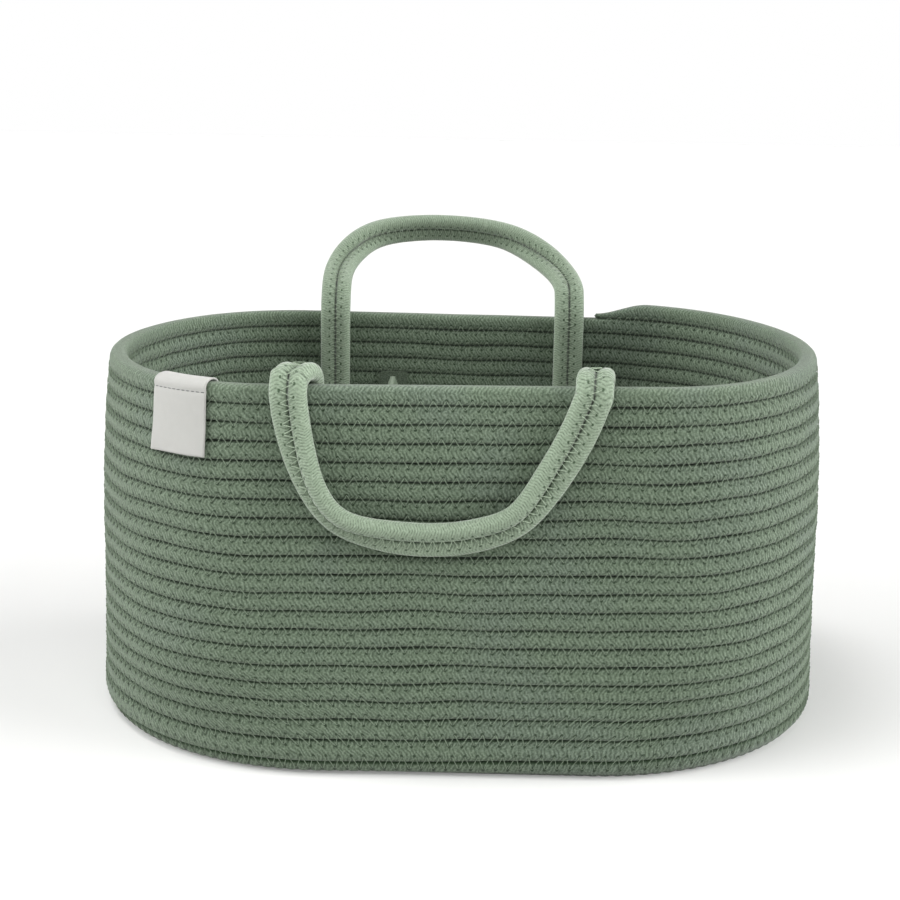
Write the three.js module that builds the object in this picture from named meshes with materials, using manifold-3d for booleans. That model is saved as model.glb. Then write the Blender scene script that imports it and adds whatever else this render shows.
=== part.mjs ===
// Diaper caddy: an open oval basket wound and stitched from one long cotton rope.
// The rope lies as a flat oval spiral in the base and climbs as a helix through the wall.
// Two handles of doubled rope bend over the rim, a folded tape tag hangs at the front left,
// and two canvas dividers stand on the base between hook and loop tapes.
// Millimetres, +Z up, +X to the right, the front faces -Y, origin on the floor under the middle.
import * as THREE from 'three';
import { mergeVertices } from 'three/addons/utils/BufferGeometryUtils.js';
import Module from 'manifold-3d';

const wasm = await Module();
wasm.setup();

const degree = Math.PI / 180;

// Basket
const basketLength = 370;
const basketWidth = 251;
const rimHeight = 188;
const ropeRise = 8.8;
const ropeThickness = 8.8;
const turnGap = 0.8;
const baseRounding = 24;
const soleCutShare = 0.1;
const endBelly = 2.4;
const rimDrawIn = 5.8;
const sideStraight = 177;
const squareHeight = 55;
const ropeEndRun = 10;
const ropeStartSetback = 4;
const seatGap = 0.3;

// Steps of the faceted rope and the turns over which its rise becomes even
const endSteps = 9;
const evenRiseTurns = 3;
const spiralStartShare = 0.25;

// Steps round the rounded corners of the dividers and of their tapes
const coverSteps = 4;
const tapeSteps = 2;

// Handles of two strands sewn side by side
const strandDiameter = 8.4;
const strandGap = 0.3;
const strandSides = 10;
const legSpacing = 136;
const handleDrop = 70;
const bowRadius = 87.5;
const topBendRadius = 36.5;
const tailLength = 55;
const socketClearance = 0.4;
const bowTurn = 24 * degree;
const cornerTurn = 48 * degree;
const legTurn = 80 * degree;
const frontHandleCentre = -10;
const rearHandleCentre = -6;
const frontHandleSway = -4;
const rearHandleSway = -9;

// The bend of each of the three pivots of a handle: 0 stands up, 60 hangs outside
const hangingBend = 60 * degree;
const frontBend = hangingBend;
const rearBend = 23 * degree;

// Tag of folded tape over the rim at the left end, bent at one of the end's steps
const tagStep = 8;
const tagBeyondShare = 0.18;
const tagBends = 6;
const tagWidth = 29;
const tagDrop = 29.5;
const tagTuck = 24;
const tagThickness = 1.2;
const tagEase = 0.45;

// Dividers, placed from the ends of the straight sides, and their heights from the rim down
const leftDividerInset = 48.5;
const rightDividerInset = 8.5;
const dividerDrop = 38;
const dividerThickness = 7;
const coverWall = 1.9;
const coverSeam = 6;
const dividerTopRadius = 14;
const dividerFootRadius = 26;
const flangeWidth = 18;
const flangeThickness = 2.4;
const flangeDrop = 10;
const flangeLength = 70;
const flangeRadius = 3;
const hookTapeWidth = 16;
const hookTapeThickness = 1.5;
const hookTapeInset = 4;
const loopTapeWidth = 16;
const loopTapeThickness = 1.2;
const loopTapeLength = 88;
const tapeRadius = 1.5;
const cutOverrun = 5;

const colours = {
  rope: 0x70836f,
  handle: 0x7f917d,
  tag: 0xf1f0ea,
  canvas: 0x7c8c79,
  board: 0xd8d4c8,
  hook: 0x66755f,
  loop: 0x6c7b68,
};

const fabricRoughness = 0.95;

function fabric(colour) {
  return new THREE.MeshStandardMaterial({ color: colour, roughness: fabricRoughness, metalness: 0 });
}

// Sizes worked out from the driving dimensions
const halfThickness = ropeThickness / 2;
const soleHeight = ropeThickness * (1 / 2 - soleCutShare);
const bendRadius = baseRounding - halfThickness;
const wallReach = basketWidth / 2 - halfThickness;
const baseReach = wallReach - bendRadius;
const bendLength = bendRadius * Math.PI / 2;
const bendTop = soleHeight + bendRadius;
const rimRow = rimHeight - ropeRise / 2;
const profileLength = baseReach + bendLength + rimRow - bendTop;
const frontTurns = Math.round(profileLength / ropeRise + spiralStartShare - 1 / 2) + 1 / 2;
const pitch = profileLength / (frontTurns - spiralStartShare);
const sectionHeight = (pitch - turnGap) / 2;
const coreHalf = (basketLength - basketWidth) / 2 - endBelly;
const baseTurns = Math.floor(baseReach / pitch + spiralStartShare);
const middleHeight = rimHeight / 2;

// Shares of one turn taken by half a straight side and by a rounded end
const endReach = basketLength / 2 - halfThickness - sideStraight / 2;
const endArc = Math.PI * (endReach + wallReach) / 2;
const halfSideShare = sideStraight / 2 / (2 * sideStraight + 2 * endArc);
const endShare = 1 / 2 - 2 * halfSideShare;
const coilEndShare = halfSideShare / sideStraight;

function smooth(share) {
  const held = Math.min(1, Math.max(0, share));
  return held * held * (3 - 2 * held);
}

// Where the rope lies in the wall's profile: its reach from the core, height and lean of the surface
function profileAt(run) {
  if (run < baseReach) {
    return { reach: run, height: soleHeight, lean: 0 };
  }
  if (run < baseReach + bendLength) {
    const lean = (run - baseReach) / bendRadius;
    return {
      reach: baseReach + bendRadius * Math.sin(lean),
      height: soleHeight + bendRadius * (1 - Math.cos(lean)),
      lean,
    };
  }
  return { reach: wallReach, height: bendTop + run - baseReach - bendLength, lean: Math.PI / 2 };
}

// How far the ends of the oval swell past the base's outline at a height
function bellyAt(height) {
  const share = (height - middleHeight) / middleHeight;
  return share < 0 ? endBelly * (1 - share * share) : endBelly - rimDrawIn * share * share;
}

// Half of the straight side at a height: the base is a plain oval, the wall is squarer
function straightAt(height) {
  return coreHalf + (sideStraight / 2 - coreHalf) * smooth((height - soleHeight) / squareHeight);
}

// A place on the wall's oval: turnShare 0 is the middle of the rear, a quarter is the left end
function ovalAt(turnShare, reach, height) {
  const straight = straightAt(height);
  const swell = bellyAt(height) * Math.max(0, reach - baseReach) / bendRadius;
  const endDepth = coreHalf + reach + swell - straight;
  const sign = turnShare < 1 / 2 ? -1 : 1;
  const half = turnShare % (1 / 2);
  if (half <= halfSideShare) {
    return { x: sign * straight * half / halfSideShare, y: -sign * reach, nx: 0, ny: -sign };
  }
  if (half >= 1 / 2 - halfSideShare) {
    return { x: sign * straight * (1 / 2 - half) / halfSideShare, y: sign * reach, nx: 0, ny: sign };
  }
  const turn = (half - halfSideShare) / endShare * Math.PI;
  const nx = sign * Math.sin(turn) / endDepth;
  const ny = -sign * Math.cos(turn) / reach;
  const size = Math.hypot(nx, ny);
  return {
    x: sign * (straight + endDepth * Math.sin(turn)),
    y: -sign * reach * Math.cos(turn),
    nx: nx / size,
    ny: ny / size,
  };
}

// Turns wound so far, where the rope only moves outwards as it rounds the ends
function steppedTurns(turns) {
  const half = turns % (1 / 2);
  const turned = Math.min(1, Math.max(0, (half - halfSideShare) / endShare));
  return turns - half + (1 - Math.cos(Math.PI * turned)) / 4;
}

// In the wall the rise becomes even all round within the first turns
function grownTurns(turns) {
  const even = Math.min(1, Math.max(0, (turns - baseTurns) / evenRiseTurns));
  return steppedTurns(turns) * (1 - even) + turns * even;
}

// How far along the profile the rope has climbed
function climbedRun(turns) {
  return pitch * (grownTurns(turns) - spiralStartShare);
}

// A place in the wall's middle, with the directions out of the surface and along the profile
function wallPlace(turnShare, run) {
  const profile = profileAt(run);
  const oval = ovalAt(turnShare, profile.reach, profile.height);
  const sine = Math.sin(profile.lean);
  const cosine = Math.cos(profile.lean);
  return {
    middle: new THREE.Vector3(oval.x, oval.y, profile.height),
    out: new THREE.Vector3(oval.nx * sine, oval.ny * sine, -cosine),
    along: new THREE.Vector3(oval.nx * cosine, oval.ny * cosine, sine),
  };
}

function wallRope(turns) {
  return wallPlace(turns % 1, climbedRun(turns));
}

// The base's turns: straight sides joined by half circles about two middles
function baseRope(turns) {
  const sign = turns % 1 < 1 / 2 ? -1 : 1;
  const half = turns % (1 / 2);
  const startReach = pitch * (turns - half - spiralStartShare);
  const turned = Math.min(1, Math.max(0, (half - halfSideShare) / endShare)) * Math.PI;
  const radius = startReach + pitch / 4;
  const side = half < halfSideShare ? half : Math.min(halfSideShare, 1 / 2 - half);
  const x = sign * (coreHalf * side / halfSideShare + radius * Math.sin(turned));
  const y = sign * (pitch / 4 - radius * Math.cos(turned));
  return {
    middle: new THREE.Vector3(x, y, soleHeight),
    out: new THREE.Vector3(0, 0, -1),
    along: new THREE.Vector3(sign * Math.sin(turned), -sign * Math.cos(turned), 0),
  };
}

// The turn values at which a coil has a ring of points
function coilStations(first, last, sideMiddles) {
  const stations = [first];
  for (let half = Math.floor(first * 2); half <= Math.ceil(last * 2); half += 1) {
    const marks = sideMiddles ? [0] : [];
    for (let step = 0; step <= endSteps; step += 1) {
      marks.push(halfSideShare + endShare * step / endSteps);
    }
    for (const mark of marks) {
      const turns = half / 2 + mark;
      if (turns > first + coilEndShare && turns < last - coilEndShare) {
        stations.push(turns);
      }
    }
  }
  stations.push(last);
  return stations;
}

// Six points round the rope, cut flat where the basket stands
function ropeRing(place) {
  const corners = [[1, -1 / 2], [1, 1 / 2], [0, 1], [-1, 1 / 2], [-1, -1 / 2], [0, -1]];
  return corners.map(([outShare, alongShare]) => {
    const point = place.middle.clone();
    point.addScaledVector(place.out, outShare * halfThickness);
    point.addScaledVector(place.along, alongShare * sectionHeight);
    point.z = Math.max(0, point.z);
    return point;
  });
}

// One closed body through rings of points, each end closed by the given triangles or a fan
function sweep(rings, capFaces, startMiddle, endMiddle) {
  const count = rings[0].length;
  const points = rings.flat();
  const faces = [];
  for (let ring = 0; ring + 1 < rings.length; ring += 1) {
    for (let corner = 0; corner < count; corner += 1) {
      const a = ring * count + corner;
      const b = ring * count + (corner + 1) % count;
      faces.push([a, b, b + count], [a, b + count, a + count]);
    }
  }
  const last = (rings.length - 1) * count;
  if (capFaces) {
    for (const [a, b, c] of capFaces) {
      faces.push([a, c, b], [last + a, last + b, last + c]);
    }
  } else {
    const average = (ring) => ring.reduce((sum, p) => sum.add(p), new THREE.Vector3()).divideScalar(count);
    const start = points.push(startMiddle ?? average(rings[0])) - 1;
    const end = points.push(endMiddle ?? average(rings[rings.length - 1])) - 1;
    for (let corner = 0; corner < count; corner += 1) {
      const next = (corner + 1) % count;
      faces.push([start, next, corner], [end, last + corner, last + next]);
    }
  }
  return closedGeometry(points, faces);
}

// A geometry whose faces all point outwards
function closedGeometry(points, faces) {
  let volume = 0;
  for (const [a, b, c] of faces) {
    volume += points[a].dot(new THREE.Vector3().crossVectors(points[b], points[c]));
  }
  const indices = faces.map(([a, b, c]) => (volume > 0 ? [a, b, c] : [a, c, b]));
  const geometry = new THREE.BufferGeometry().setFromPoints(points);
  geometry.setIndex(indices.flat());
  return geometry;
}

const caddy = new THREE.Group();

function addPiece(parent, name, geometry, colour) {
  geometry.computeVertexNormals();
  const mesh = new THREE.Mesh(geometry, fabric(colour));
  mesh.name = name;
  parent.add(mesh);
}

// The least gap between rope that lies a whole turn apart, on points round its rings
function leastTurnGap(stations, ropeOf) {
  const rows = stations.map((turns) => ({ turns, ring: ropeRing(ropeOf(turns)) }));
  let least = Infinity;
  for (const lower of rows) {
    const upper = rows.find((row) => Math.abs(row.turns - lower.turns - 1) < coilEndShare);
    if (upper) {
      for (const a of lower.ring) {
        for (const b of upper.ring) {
          least = Math.min(least, a.distanceTo(b));
        }
      }
    }
  }
  return least;
}

// Rope coils: the base's spiral from its start to the rear, and the wall's helix from there
const jointBackoff = halfSideShare * seatGap / 2 / coreHalf;
const spiralStart = 1 / 2 - halfSideShare * (coreHalf - ropeStartSetback) / coreHalf;
const ropeEnd = frontTurns + 1 / 2 - halfSideShare * (1 - ropeEndRun / (sideStraight / 2));

function addCoils() {
  const baseStations = coilStations(spiralStart, baseTurns - jointBackoff, false);
  const wallStations = coilStations(baseTurns + jointBackoff, ropeEnd, true);
  addPiece(caddy, 'base_coil', sweep(baseStations.map((t) => ropeRing(baseRope(t)))), colours.rope);
  addPiece(caddy, 'wall_coil', sweep(wallStations.map((t) => ropeRing(wallRope(t)))), colours.rope);
  console.log('least gap between turns of the base, mm', leastTurnGap(baseStations, baseRope).toFixed(2));
  console.log('least gap between turns of the wall, mm', leastTurnGap(wallStations, wallRope).toFixed(2));
}

// Handles
const strandRadius = strandDiameter / 2;
const strandOffset = (strandDiameter + strandGap) / 2;
const wrapReach = halfThickness + seatGap + strandRadius;
const linkLength = 2 * wrapReach * Math.tan(hangingBend / 2);
const pivotRise = wrapReach * Math.tan(hangingBend / 2);
const socketRadius = strandRadius / Math.cos(hangingBend / 2) + socketClearance;
const ballTurns = [80 * degree, 45 * degree];
const archStep = 12 * degree;

// A ring of points round a strand: shift moves each point along the strand by its offset in the bend
function strandRing(middle, across, bend, direction, size, shift) {
  const ring = [];
  for (let side = 0; side < strandSides; side += 1) {
    const turn = 2 * Math.PI * (side + 1 / 2) / strandSides;
    const inBend = size * Math.sin(turn);
    const point = middle.clone();
    point.addScaledVector(across, size * Math.cos(turn));
    point.addScaledVector(bend, inBend);
    point.addScaledVector(direction, shift ? shift(inBend) : 0);
    ring.push(point);
  }
  return ring;
}

// The rounded end of a strand about a pivot, from its tip inwards
function ballRings(middle, across, bend, outwards) {
  return ballTurns.map((turn) => {
    const centre = middle.clone().addScaledVector(outwards, strandRadius * Math.sin(turn));
    return strandRing(centre, across, bend, outwards, strandRadius * Math.cos(turn));
  });
}

// A straight strand up to a pivot, hollowed there to let the next strand's end turn
function socketStrand(x, low, high, ballBelow) {
  const across = new THREE.Vector3(1, 0, 0);
  const bend = new THREE.Vector3(0, 1, 0);
  const up = new THREE.Vector3(0, 0, 1);
  const foot = new THREE.Vector3(x, 0, low);
  const top = new THREE.Vector3(x, 0, high);
  const hollow = (inBend) => -Math.sqrt(socketRadius ** 2 - inBend ** 2);
  const rings = ballBelow ? ballRings(foot, across, bend, up.clone().negate()) : [];
  rings.push(strandRing(foot, across, bend, up, strandRadius));
  rings.push(strandRing(top, across, bend, up, strandRadius, hollow));
  const hollowMiddle = top.clone().addScaledVector(up, -socketRadius);
  return sweep(rings, null, null, hollowMiddle);
}

// The two middle radii of the arch follow from its width and drop
function archRadii() {
  const [s1, s2, s3] = [bowTurn, cornerTurn, legTurn].map(Math.sin);
  const [c1, c2, c3] = [bowTurn, cornerTurn, legTurn].map(Math.cos);
  const across = legSpacing / 2 - bowRadius * s1 - topBendRadius * (1 - s3);
  const down = handleDrop - bowRadius * (1 - c1) - topBendRadius * c3;
  const spread = (s2 - s1) * (c2 - c3) - (s3 - s2) * (c1 - c2);
  const corner = (across * (c2 - c3) - down * (s3 - s2)) / spread;
  const leg = (down * (s2 - s1) - across * (c1 - c2)) / spread;
  return [bowRadius, corner, leg, topBendRadius];
}

// Points of one half of the arch, from the middle of the grip to the pivot
function archHalf(offset) {
  const turns = [0, bowTurn, cornerTurn, legTurn, Math.PI / 2];
  const radii = archRadii();
  const points = [];
  let x = 0;
  let risen = 0;
  radii.forEach((radius, arc) => {
    const steps = Math.ceil((turns[arc + 1] - turns[arc]) / archStep);
    for (let step = arc === 0 ? 0 : 1; step <= steps; step += 1) {
      const turn = turns[arc] + (turns[arc + 1] - turns[arc]) * step / steps;
      const size = radius + offset;
      points.push([x + size * (Math.sin(turn) - Math.sin(turns[arc])),
        risen + size * (Math.cos(turns[arc]) - Math.cos(turn))]);
    }
    [x, risen] = points[points.length - 1];
  });
  return points;
}

// The grip's strand, from the left pivot over the arch to the right one
function gripStrand(offset, sway) {
  const half = archHalf(offset);
  const height = handleDrop + offset;
  const right = half.map(([x, risen]) => [x, height - risen]);
  const left = right.slice(1).reverse().map(([x, z]) => [-x, z]);
  const middles = [...left, ...right].map(([x, z]) => new THREE.Vector3(x + sway * z / height, 0, z));
  const up = new THREE.Vector3(0, 0, 1);
  const bend = new THREE.Vector3(0, 1, 0);
  const last = middles.length - 1;
  const rings = middles.map((middle, index) => {
    const direction = index === 0 ? up.clone() : index === last ? up.clone().negate()
      : middles[index + 1].clone().sub(middles[index - 1]).normalize();
    const across = new THREE.Vector3().crossVectors(bend, direction);
    return strandRing(middle, across, bend, direction, strandRadius);
  });
  const down = up.clone().negate();
  const side = new THREE.Vector3(1, 0, 0);
  const startBall = ballRings(middles[0], side, bend, down);
  const endBall = ballRings(middles[last], side.clone().negate(), bend, down).reverse();
  return sweep([...startBall, ...rings, ...endBall]);
}

// The highest rope row that the handle's legs cross on one side of the basket
function rowUnder(centre, side) {
  const shares = [-1, 1].map((leg) => {
    const along = (centre + leg * legSpacing / 2) / (sideStraight / 2) * halfSideShare;
    return side < 0 ? frontTurns + along : frontTurns - 1 / 2 - along;
  });
  return Math.max(...shares.map((turns) => wallRope(turns).middle.z));
}

// A handle: sewn tails, two short lengths that bend over the rim, and the grip
function addHandle(name, centre, side, bend, sway) {
  const pivotHeight = rowUnder(centre, side) + pivotRise;
  const tailPlace = new THREE.Group();
  tailPlace.position.set(centre, side * (wallReach - wrapReach), pivotHeight);
  const firstLink = new THREE.Group();
  firstLink.rotation.x = -side * bend;
  const secondLink = new THREE.Group();
  secondLink.position.z = linkLength;
  secondLink.rotation.x = -side * bend;
  const grip = new THREE.Group();
  grip.position.z = linkLength;
  grip.rotation.x = -side * bend;
  caddy.add(tailPlace);
  tailPlace.add(firstLink);
  firstLink.add(secondLink);
  secondLink.add(grip);
  for (const [strand, offset] of [['outer', strandOffset], ['inner', -strandOffset]]) {
    for (const [leg, sign] of [['left', -1], ['right', 1]]) {
      const x = sign * (legSpacing / 2 + offset);
      const label = `${name}_${strand}_${leg}`;
      addPiece(tailPlace, `${label}_tail`, socketStrand(x, -tailLength, 0, false), colours.handle);
      addPiece(firstLink, `${label}_link_1`, socketStrand(x, 0, linkLength, true), colours.handle);
      addPiece(secondLink, `${label}_link_2`, socketStrand(x, 0, linkLength, true), colours.handle);
    }
    addPiece(grip, `${name}_${strand}_grip`, gripStrand(offset, sway), colours.handle);
  }
}

// The outline of the tag's folded strip: reach out of the wall's middle, and height over the rim's row
function tagOutline() {
  const reach = halfThickness + tagEase + tagThickness / 2;
  const shoulder = sectionHeight / 2;
  const crown = shoulder + tagEase + tagThickness / 2;
  const strip = [[reach, -tagDrop], [reach, -tagDrop / 2]];
  for (let bend = 0; bend <= tagBends; bend += 1) {
    const turn = Math.PI * bend / tagBends;
    strip.push([reach * Math.cos(turn), shoulder + crown * Math.sin(turn)]);
  }
  strip.push([-reach, -tagTuck / 2], [-reach, -tagTuck]);
  const face = (side) => strip.map(([x, z], index) => {
    const before = strip[Math.max(0, index - 1)];
    const after = strip[Math.min(strip.length - 1, index + 1)];
    const step = new THREE.Vector2(after[0] - before[0], after[1] - before[1]).normalize();
    return new THREE.Vector2(x + step.y * side * tagThickness / 2, z - step.x * side * tagThickness / 2);
  });
  return [...face(1), ...face(-1).reverse()];
}

// The tag lies on two flat facets of the oval and bends where they meet, at a ring of the wall's rope
function addTag() {
  const outline = tagOutline();
  const stepAt = (step) => frontTurns - 1 / 2 + halfSideShare + endShare * step / endSteps;
  const corner = stepAt(tagStep);
  const ends = [
    [stepAt(tagStep - 1), -tagWidth * (1 - tagBeyondShare)],
    [corner, 0],
    [stepAt(tagStep + 1), tagWidth * tagBeyondShare],
  ];
  const rings = ends.map(([turns, offset]) => {
    const facet = wallRope(corner).middle.distanceTo(wallRope(turns).middle);
    const share = offset === 0 ? 0 : Math.abs(offset) / facet;
    return outline.map(({ x, y }) => {
      const from = wallPlace(corner % 1, climbedRun(corner) + Math.min(0, y));
      const to = wallPlace(turns % 1, climbedRun(turns) + Math.min(0, y));
      const place = from.middle.lerp(to.middle, share);
      const out = from.out.lerp(to.out, share).normalize();
      return place.addScaledVector(out, x).addScaledVector(axisZ, Math.max(0, y));
    });
  });
  const caps = THREE.ShapeUtils.triangulateShape(outline, []);
  addPiece(caddy, 'tag_tape', sweep(rings, caps), colours.tag);
}

// Dividers
const baseTop = soleHeight + halfThickness;
const wallFace = wallReach - halfThickness;
const loopFace = wallFace - seatGap - loopTapeThickness;
const hookFace = loopFace - seatGap - hookTapeThickness;
const dividerReach = hookFace - seatGap;
const dividerFoot = baseTop + seatGap;
const dividerTop = rimHeight - dividerDrop;
const flangeHigh = dividerTop - flangeDrop;
const flangeLow = flangeHigh - flangeLength;
const loopTapeLow = dividerTop - loopTapeLength;
const leftDividerPlace = leftDividerInset - sideStraight / 2;
const rightDividerPlace = sideStraight / 2 - rightDividerInset;

// A rectangle with rounded corners: low and high pairs of places, with foot and top radii
function roundedShape(low, high, footRadius, topRadius) {
  const shape = new THREE.Shape();
  const [left, foot] = low;
  const [right, top] = high;
  shape.moveTo(left + footRadius, foot);
  shape.lineTo(right - footRadius, foot);
  shape.absarc(right - footRadius, foot + footRadius, footRadius, -Math.PI / 2, 0, false);
  shape.lineTo(right, top - topRadius);
  shape.absarc(right - topRadius, top - topRadius, topRadius, 0, Math.PI / 2, false);
  shape.lineTo(left + topRadius, top);
  shape.absarc(left + topRadius, top - topRadius, topRadius, Math.PI / 2, Math.PI, false);
  shape.lineTo(left, foot + footRadius);
  shape.absarc(left + footRadius, foot + footRadius, footRadius, Math.PI, 3 * Math.PI / 2, false);
  return shape;
}

const axisX = new THREE.Vector3(1, 0, 0);
const axisY = new THREE.Vector3(0, 1, 0);
const axisZ = new THREE.Vector3(0, 0, 1);

// A plate that lies across the basket: the shape's width runs along Y, its height along Z
function crossPlate(shape, middleX, thickness) {
  const options = { depth: thickness, bevelEnabled: false, curveSegments: coverSteps };
  const geometry = new THREE.ExtrudeGeometry(shape, options);
  geometry.applyMatrix4(new THREE.Matrix4().makeBasis(axisY, axisZ, axisX));
  geometry.translate(middleX - thickness / 2, 0, 0);
  return geometry;
}

// A strip that faces the front and rear walls: its width runs along X, its height along Z
function facingPlate(shape, nearY, thickness) {
  const options = { depth: thickness, bevelEnabled: false, curveSegments: tapeSteps };
  const geometry = new THREE.ExtrudeGeometry(shape, options);
  geometry.applyMatrix4(new THREE.Matrix4().makeBasis(axisX, axisZ, axisY.clone().negate()));
  geometry.translate(0, nearY + thickness, 0);
  return geometry;
}

function bare(geometry) {
  const copy = geometry.clone();
  copy.deleteAttribute('normal');
  copy.deleteAttribute('uv');
  return mergeVertices(copy);
}

function solidOf(geometry) {
  const merged = bare(geometry);
  return new wasm.Manifold(new wasm.Mesh({
    numProp: 3,
    vertProperties: new Float32Array(merged.attributes.position.array),
    triVerts: new Uint32Array(merged.index.array),
  }));
}

function geometryOf(solid) {
  const mesh = solid.getMesh();
  const geometry = new THREE.BufferGeometry();
  geometry.setAttribute('position', new THREE.BufferAttribute(new Float32Array(mesh.vertProperties), 3));
  geometry.setIndex(Array.from(mesh.triVerts));
  return geometry;
}

function stripShape(middle, width, low, high, radius) {
  return roundedShape([middle - width / 2, low], [middle + width / 2, high], radius, radius);
}

// A divider: canvas cover with an open foot, a board inside and a hook tape on each end flange
function addDivider(name, place) {
  const outline = roundedShape([-dividerReach, dividerFoot], [dividerReach, dividerTop],
    dividerFootRadius, dividerTopRadius);
  let cover = solidOf(crossPlate(outline, place, dividerThickness));
  const flange = stripShape(place, flangeWidth, flangeLow, flangeHigh, flangeRadius);
  cover = cover.add(solidOf(facingPlate(flange, -dividerReach, flangeThickness)));
  cover = cover.add(solidOf(facingPlate(flange, dividerReach - flangeThickness, flangeThickness)));
  const pocketReach = dividerReach - coverSeam;
  const pocketTop = dividerTop - coverSeam;
  const pocketTopRadius = dividerTopRadius - coverSeam;
  const pocket = roundedShape([-pocketReach, dividerFoot - cutOverrun], [pocketReach, pocketTop],
    dividerFootRadius, pocketTopRadius);
  cover = cover.subtract(solidOf(crossPlate(pocket, place, dividerThickness - 2 * coverWall)));
  addPiece(caddy, `${name}_cover`, geometryOf(cover), colours.canvas);
  const boardReach = pocketReach - seatGap;
  const board = roundedShape([-boardReach, dividerFoot + seatGap], [boardReach, pocketTop - seatGap],
    dividerFootRadius, pocketTopRadius - seatGap);
  const boardThickness = dividerThickness - 2 * coverWall - 2 * seatGap;
  addPiece(caddy, `${name}_board`, bare(crossPlate(board, place, boardThickness)), colours.board);
  const hookLow = flangeLow + hookTapeInset;
  const hookHigh = flangeHigh - hookTapeInset;
  const hook = stripShape(place, hookTapeWidth, hookLow, hookHigh, tapeRadius);
  const loop = stripShape(place, loopTapeWidth, loopTapeLow, dividerTop, tapeRadius);
  for (const [end, side] of [['front', -1], ['rear', 1]]) {
    const hookNear = side < 0 ? -hookFace - hookTapeThickness : hookFace;
    const loopNear = side < 0 ? -loopFace - loopTapeThickness : loopFace;
    const hookTape = facingPlate(hook, hookNear, hookTapeThickness);
    const loopTape = facingPlate(loop, loopNear, loopTapeThickness);
    addPiece(caddy, `${name}_${end}_hook_tape`, bare(hookTape), colours.hook);
    addPiece(caddy, `wall_${end}_loop_tape_${name.replace('divider_', '')}`, bare(loopTape), colours.loop);
  }
}

addCoils();
addHandle('front_handle', frontHandleCentre, -1, frontBend, frontHandleSway);
addHandle('rear_handle', rearHandleCentre, 1, rearBend, rearHandleSway);
addTag();
addDivider('divider_left', leftDividerPlace);
addDivider('divider_right', rightDividerPlace);

export default caddy;
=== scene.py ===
# Diaper caddy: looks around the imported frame. Metres, +Z up, the front faces -Y.
# Lengths in the named values below are millimetres; "mm" turns them into metres.
import math

import bpy
import numpy as np
from mathutils import Matrix, Vector


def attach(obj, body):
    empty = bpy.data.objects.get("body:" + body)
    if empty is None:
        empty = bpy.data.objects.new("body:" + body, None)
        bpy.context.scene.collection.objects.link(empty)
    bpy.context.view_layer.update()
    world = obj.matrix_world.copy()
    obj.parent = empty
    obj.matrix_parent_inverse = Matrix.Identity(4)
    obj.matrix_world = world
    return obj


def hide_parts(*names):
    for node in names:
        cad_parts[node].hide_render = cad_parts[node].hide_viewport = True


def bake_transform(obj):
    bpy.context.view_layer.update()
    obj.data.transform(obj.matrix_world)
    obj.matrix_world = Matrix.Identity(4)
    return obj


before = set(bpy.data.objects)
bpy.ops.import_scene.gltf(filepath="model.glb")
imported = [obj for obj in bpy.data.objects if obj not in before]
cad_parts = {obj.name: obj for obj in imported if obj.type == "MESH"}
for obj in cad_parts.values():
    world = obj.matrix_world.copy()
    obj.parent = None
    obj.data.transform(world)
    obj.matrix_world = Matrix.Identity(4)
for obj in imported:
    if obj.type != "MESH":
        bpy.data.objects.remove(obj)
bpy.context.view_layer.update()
mm = 0.001

# Camera, worked out from the rim, both side outlines and the rows of rope
CAMERA_PLACE = (-0.00604, -0.8645, 0.3322)
CAMERA_TILT = 0.2297
CAMERA_ROLL = 0.0174
CAMERA_LENS = 67.64
SENSOR_WIDTH = 36.0
CAMERA_CLIP = 0.01

# Basket, the same sizes as the solids
BASKET_LENGTH = 370.0
BASKET_WIDTH = 251.0
RIM_HEIGHT = 188.0
ROPE_RISE = 8.8
ROPE_THICKNESS = 8.8
BASE_ROUNDING = 24.0
SOLE_CUT_SHARE = 0.1
FOOT_ROUNDING = 11.0
FOOT_BLEND = 12.0
FOOT_SPREAD = 3.5
RIM_DRAW_IN = 5.8
SIDE_STRAIGHT = 177.0
SQUARE_HEIGHT = 55.0
ROPE_END_RUN = 10.0
ROPE_START_SETBACK = 4.0
EVEN_RISE_TURNS = 3.0
SPIRAL_START_SHARE = 0.25
TABLE_COUNT = 60001

HALF_THICKNESS = ROPE_THICKNESS / 2
SOLE_HEIGHT = ROPE_THICKNESS * (0.5 - SOLE_CUT_SHARE)
BEND_RADIUS = BASE_ROUNDING - HALF_THICKNESS
WALL_REACH = BASKET_WIDTH / 2 - HALF_THICKNESS
BASE_REACH = WALL_REACH - BEND_RADIUS
BEND_LENGTH = BEND_RADIUS * math.pi / 2
BEND_TOP = SOLE_HEIGHT + BEND_RADIUS
RIM_ROW = RIM_HEIGHT - ROPE_RISE / 2
PROFILE_LENGTH = BASE_REACH + BEND_LENGTH + RIM_ROW - BEND_TOP
FRONT_TURNS = round(PROFILE_LENGTH / ROPE_RISE + SPIRAL_START_SHARE - 0.5) + 0.5
PITCH = PROFILE_LENGTH / (FRONT_TURNS - SPIRAL_START_SHARE)
CORE_HALF = (BASKET_LENGTH - BASKET_WIDTH) / 2 + FOOT_SPREAD
BASE_TURNS = math.floor(BASE_REACH / PITCH + SPIRAL_START_SHARE)
MIDDLE_HEIGHT = RIM_HEIGHT / 2
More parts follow.
